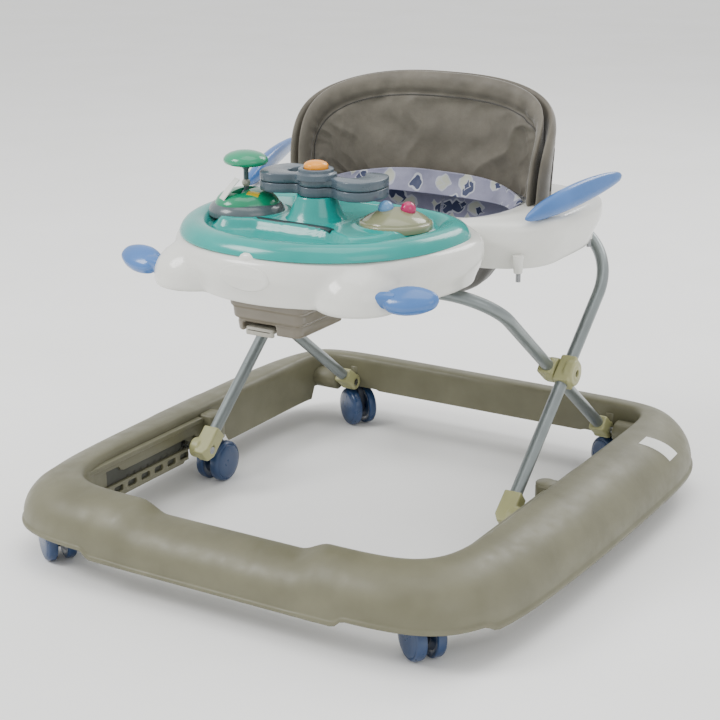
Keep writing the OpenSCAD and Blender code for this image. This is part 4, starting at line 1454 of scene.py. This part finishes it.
def puff_up(obj, held, cap, pressure=3.0, growth=0.06, frames=16):
    """Inflates a closed cloth mesh a little: vertices in held stay, and no point moves past cap."""
    rest = np.array([v.co for v in obj.data.vertices])
    group = obj.vertex_groups.new(name="held")
    for weight in sorted(set(held.values())):
        group.add([i for i, w in held.items() if w == weight], weight, "REPLACE")
    cloth = obj.modifiers.new("cloth", "CLOTH")
    cloth.settings.quality = 4
    cloth.settings.mass = 0.3
    cloth.settings.tension_stiffness = 12
    cloth.settings.compression_stiffness = 12
    cloth.settings.bending_stiffness = 0.4
    cloth.settings.use_pressure = True
    cloth.settings.uniform_pressure_force = pressure
    cloth.settings.shrink_min = -growth
    cloth.settings.vertex_group_mass = "held"
    cloth.settings.effector_weights.gravity = 0
    cloth.collision_settings.use_collision = False
    cloth.point_cache.frame_start, cloth.point_cache.frame_end = 1, frames
    scene = bpy.context.scene
    for number in range(1, frames + 1):
        scene.frame_set(number)
    graph = bpy.context.evaluated_depsgraph_get()
    moved = np.array([v.co for v in obj.evaluated_get(graph).data.vertices])
    obj.modifiers.clear()
    scene.frame_set(1)
    shift = moved - rest
    length = np.linalg.norm(shift, axis=1)
    shift *= np.minimum(1, cap * MM / np.maximum(length, 1e-9))[:, None]
    obj.data.vertices.foreach_set("co", (rest + shift).astype(np.float32).ravel())
    obj.data.update()


def subdivide(obj, levels=1):
    modifier = obj.modifiers.new("subdivision", "SUBSURF")
    modifier.levels = modifier.render_levels = levels
    bake(obj)


def cloth_piece(obj, name, material, replaces=()):
    """Dresses a fabric piece without welding, so that its UV map stays."""
    obj.name = name
    for face in obj.data.polygons:
        face.use_smooth = True
    obj.data.materials.clear()
    obj.data.materials.append(material)
    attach(obj, "tray")
    if replaces:
        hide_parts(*replaces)
    return obj


verts, faces, uv, seam_rows, (cols, rows) = seat_back_part()
seat_back = new_object("seat_back_pad", (verts, faces))
set_uv(seat_back, uv)
held = {}
for side_start in (0, cols * rows):
    for i in range(cols):
        for j in range(rows):
            index = side_start + i * rows + j
            if j in seam_rows and side_start:
                held[index] = 0.9
            elif j >= rows - 2 or i < 2 or i > cols - 3:
                held[index] = 1.0
            elif j == 0:
                held[index] = 0.4
puff_up(seat_back, held, 3.0, pressure=1.2, growth=0.05, frames=12)
subdivide(seat_back)
cloth_piece(seat_back, "seat_back_pad", FABRIC, ["seat_back"])


def rim_piping():
    """Corded seams: one where the rim band meets the gathered panel, one behind the rim."""
    verts, _, _, seam_rows, (cols, rows) = seat_back_part()
    grid = verts.reshape(2, cols, rows, 3)
    j = seam_rows[len(seam_rows) // 2]
    return joined([tube(grid[1, 3:-3, j], 0.9, 8), tube(grid[0, 3:-3, j], 1.0, 8)])


seam_cord = new_object("seat_seam_piping", rim_piping())
piece("seat_seam_piping", seam_cord, FABRIC_DARK, "tray", sharp=80)


# ---- Liner and sling -----------------------------------------------------------

SLING_LO, SLING_HI = corners("seat_sling")


def liner_part(cols=110, rows=22):
    """The printed lining of the lower seat back: a soft curved sheet with a crowned top edge."""
    s_half = HALF_LEN * 0.80
    u = np.linspace(-1, 1, cols)
    s = s_half * u
    top = 24 - 20 * np.abs(u) ** 1.9
    v = np.linspace(0, 1, rows)
    p, n = on_path(s)
    h = -6 + (top[:, None] + 6) * v[None, :]
    inset = 27 + 13 * (1 - v[None, :]) ** 1.4 + 2.5 * np.sin(9 * u + 1)[:, None] * v[None, :] \
        + 1.8 * np.sin(21 * u + v[None, :].T.mean() + 0.5)[:, None] * np.sin(math.pi * v)[None, :]
    sheets = []
    for thick in (0.0, 4.0):
        place = p[:, None] - n[:, None] * (inset - thick)[..., None]
        sheets.append(np.concatenate([place, (DECK_Z + h)[..., None]], -1))
    flat = np.stack(np.broadcast_arrays(s[:, None], h), -1)
    verts = np.concatenate([sheet.reshape(-1, 3) for sheet in sheets])
    uv = np.concatenate([flat.reshape(-1, 2)] * 2) * MM
    return verts, two_sided(cols, rows), uv


verts, faces, uv = liner_part()
liner = new_object("seat_liner_print", (verts, faces))
set_uv(liner, uv)
subdivide(liner)
cloth_piece(liner, "seat_liner_print", LINING, ["seat_liner"])


def bowl(inset, wrinkle, cols=128, rows=30):
    """Rows of a seat bowl from its rim to its low middle, inset from its outer skin."""
    theta = np.arange(cols) * TURN / cols
    rings = []
    for v in np.linspace(0, 1, rows):
        drop = math.sin(v * math.pi / 2)
        fall = v ** 1.15
        a = 148 + (74 - 148) * fall - inset
        f = 102 + (64 - 102) * fall - inset
        b = 102 + (60 - 102) * fall - inset
        close = math.sqrt(max(0.0, 1 - max(0, (v - 0.62) / 0.38) ** 2.2))
        r = superellipse(theta, a, f, b, 2.7, 2.7) * max(close, 0.015)
        sag = wrinkle * np.sin(14 * theta + 3 * v) * math.sin(math.pi * min(1, v * 1.2)) * 0.8
        z_low = SLING_LO[2] + inset
        zz = (SLING_HI[2] - 1) + (z_low - SLING_HI[2] + 1) * drop
        rings.append(np.stack([(r + sag) * np.cos(theta),
                               SEAT_HOLE[1] + (r + sag) * np.sin(theta),
                               np.full(cols, zz)], 1))
    return rings


def bowl_shell(outer_inset, inner_inset, wrinkle):
    outer, inner = bowl(outer_inset, wrinkle), bowl(inner_inset, wrinkle)
    verts, faces = loft(outer + inner[::-1], closed=False, caps=False)
    cols = 128
    last = len(outer) * 2 - 1
    faces += [(j, last * cols + j, last * cols + (j + 1) % cols, (j + 1) % cols)
              for j in range(cols)]
    return verts, [f for f in faces]


def leg_cutters():
    """Two leg openings through the front of the bowl, leaning out a little."""
    cutters = []
    for _, sign in SIDES:
        m = Matrix.Rotation(math.radians(90), 4, "X")
        m = Matrix.Rotation(math.radians(sign * 14), 4, "Z") @ m
        m.translation = Vector((sign * 47, SEAT_HOLE[1] - 10, SLING_LO[2] + 46))
        cutters.append(turned(lathe([(31, 0), (31, 130)], 56), m))
    return cutters


def cut_out(obj, cutters):
    """Take the cutters out of a mesh with exact booleans."""
    for cutter in cutters:
        tool = new_object("cutter", cutter)
        tidy(tool)
        cut = obj.modifiers.new("cut", "BOOLEAN")
        cut.operation = "DIFFERENCE"
        cut.object = tool
        bake(obj)
        bpy.data.objects.remove(tool)


def bowl_uv(obj):
    """UV map in metres: round the seat's middle, and up."""
    co = np.array([v.co for v in obj.data.vertices]) / MM
    angle = np.arctan2(co[:, 0] - SEAT_HOLE[0], -(co[:, 1] - SEAT_HOLE[1]))
    uv = np.stack([angle * 95, co[:, 2] - 400], 1) * MM
    set_uv(obj, uv)


for bowl_name, outer, inner, material, slot, replaces in (
        ("sling_bowl", 0, 2.2, FABRIC_DARK, "seat_fabric", ["seat_sling"]),
        ("sling_lining", 2.6, 4.6, LINING, "liner_fabric", [])):
    obj = new_object(bowl_name, bowl_shell(outer, inner, 2.2))
    tidy(obj, 60)
    cut_out(obj, leg_cutters())
    bowl_uv(obj)
    cloth_piece(obj, bowl_name, material, replaces)


# ---- Floor, light and camera ---------------------------------------------------

def floor_and_lights():
    """A pale flat floor and soft studio lamps."""
    material, tree, out = shader("studio_floor")
    body = mix(tree, ramp(tree, noise(tree, 3, 3), 0.3, 0.7), linear((246, 246, 244), 1),
               linear((250, 250, 249), 1))
    tree.links.new(body, out.inputs["Base Color"])
    tree.links.new(ramp(tree, noise(tree, 20, 3), 0.3, 0.7, 0.6, 0.75), out.inputs["Roughness"])
    mesh = bpy.data.meshes.new("floor")
    size = 30.0
    mesh.from_pydata([(-size, -size, 0), (size, -size, 0), (size, size, 0), (-size, size, 0)],
                     [], [(0, 1, 2, 3)])
    floor = bpy.data.objects.new("floor", mesh)
    bpy.context.scene.collection.objects.link(floor)
    floor.data.materials.append(material)
    world = bpy.data.worlds.new("studio")
    world.use_nodes = True
    world.node_tree.nodes["Background"].inputs["Color"].default_value = (1, 1, 1, 1)
    world.node_tree.nodes["Background"].inputs["Strength"].default_value = 1.15
    bpy.context.scene.world = world
    lamps = (("key", (-1.8, -1.8, 2.4), 1.2, 62), ("fill", (2.6, -1.4, 1.8), 1.8, 16),
             ("back", (0.6, 2.6, 2.4), 1.4, 40), ("top", (0, 0, 3.0), 2.0, 26))
    for name, place, size, power in lamps:
        lamp = bpy.data.lights.new(name, "AREA")
        lamp.size = size
        lamp.energy = power
        obj = bpy.data.objects.new(name, lamp)
        obj.location = place
        obj.rotation_euler = (Vector((0, 0, 0.3)) - Vector(place)).to_track_quat("-Z", "Y").to_euler()
        bpy.context.scene.collection.objects.link(obj)


def camera():
    cam = bpy.data.objects.new("camera", bpy.data.cameras.new("camera"))
    bpy.context.scene.collection.objects.link(cam)
    cam.data.lens = 85.2
    cam.data.sensor_width = 36
    cam.location = (1.0577, -1.784, 0.8686)
    cam.rotation_euler = Vector((-0.4913, 0.8174, -0.3007)).to_track_quat("-Z", "Y").to_euler()
    bpy.context.scene.camera = cam


floor_and_lights()
camera()
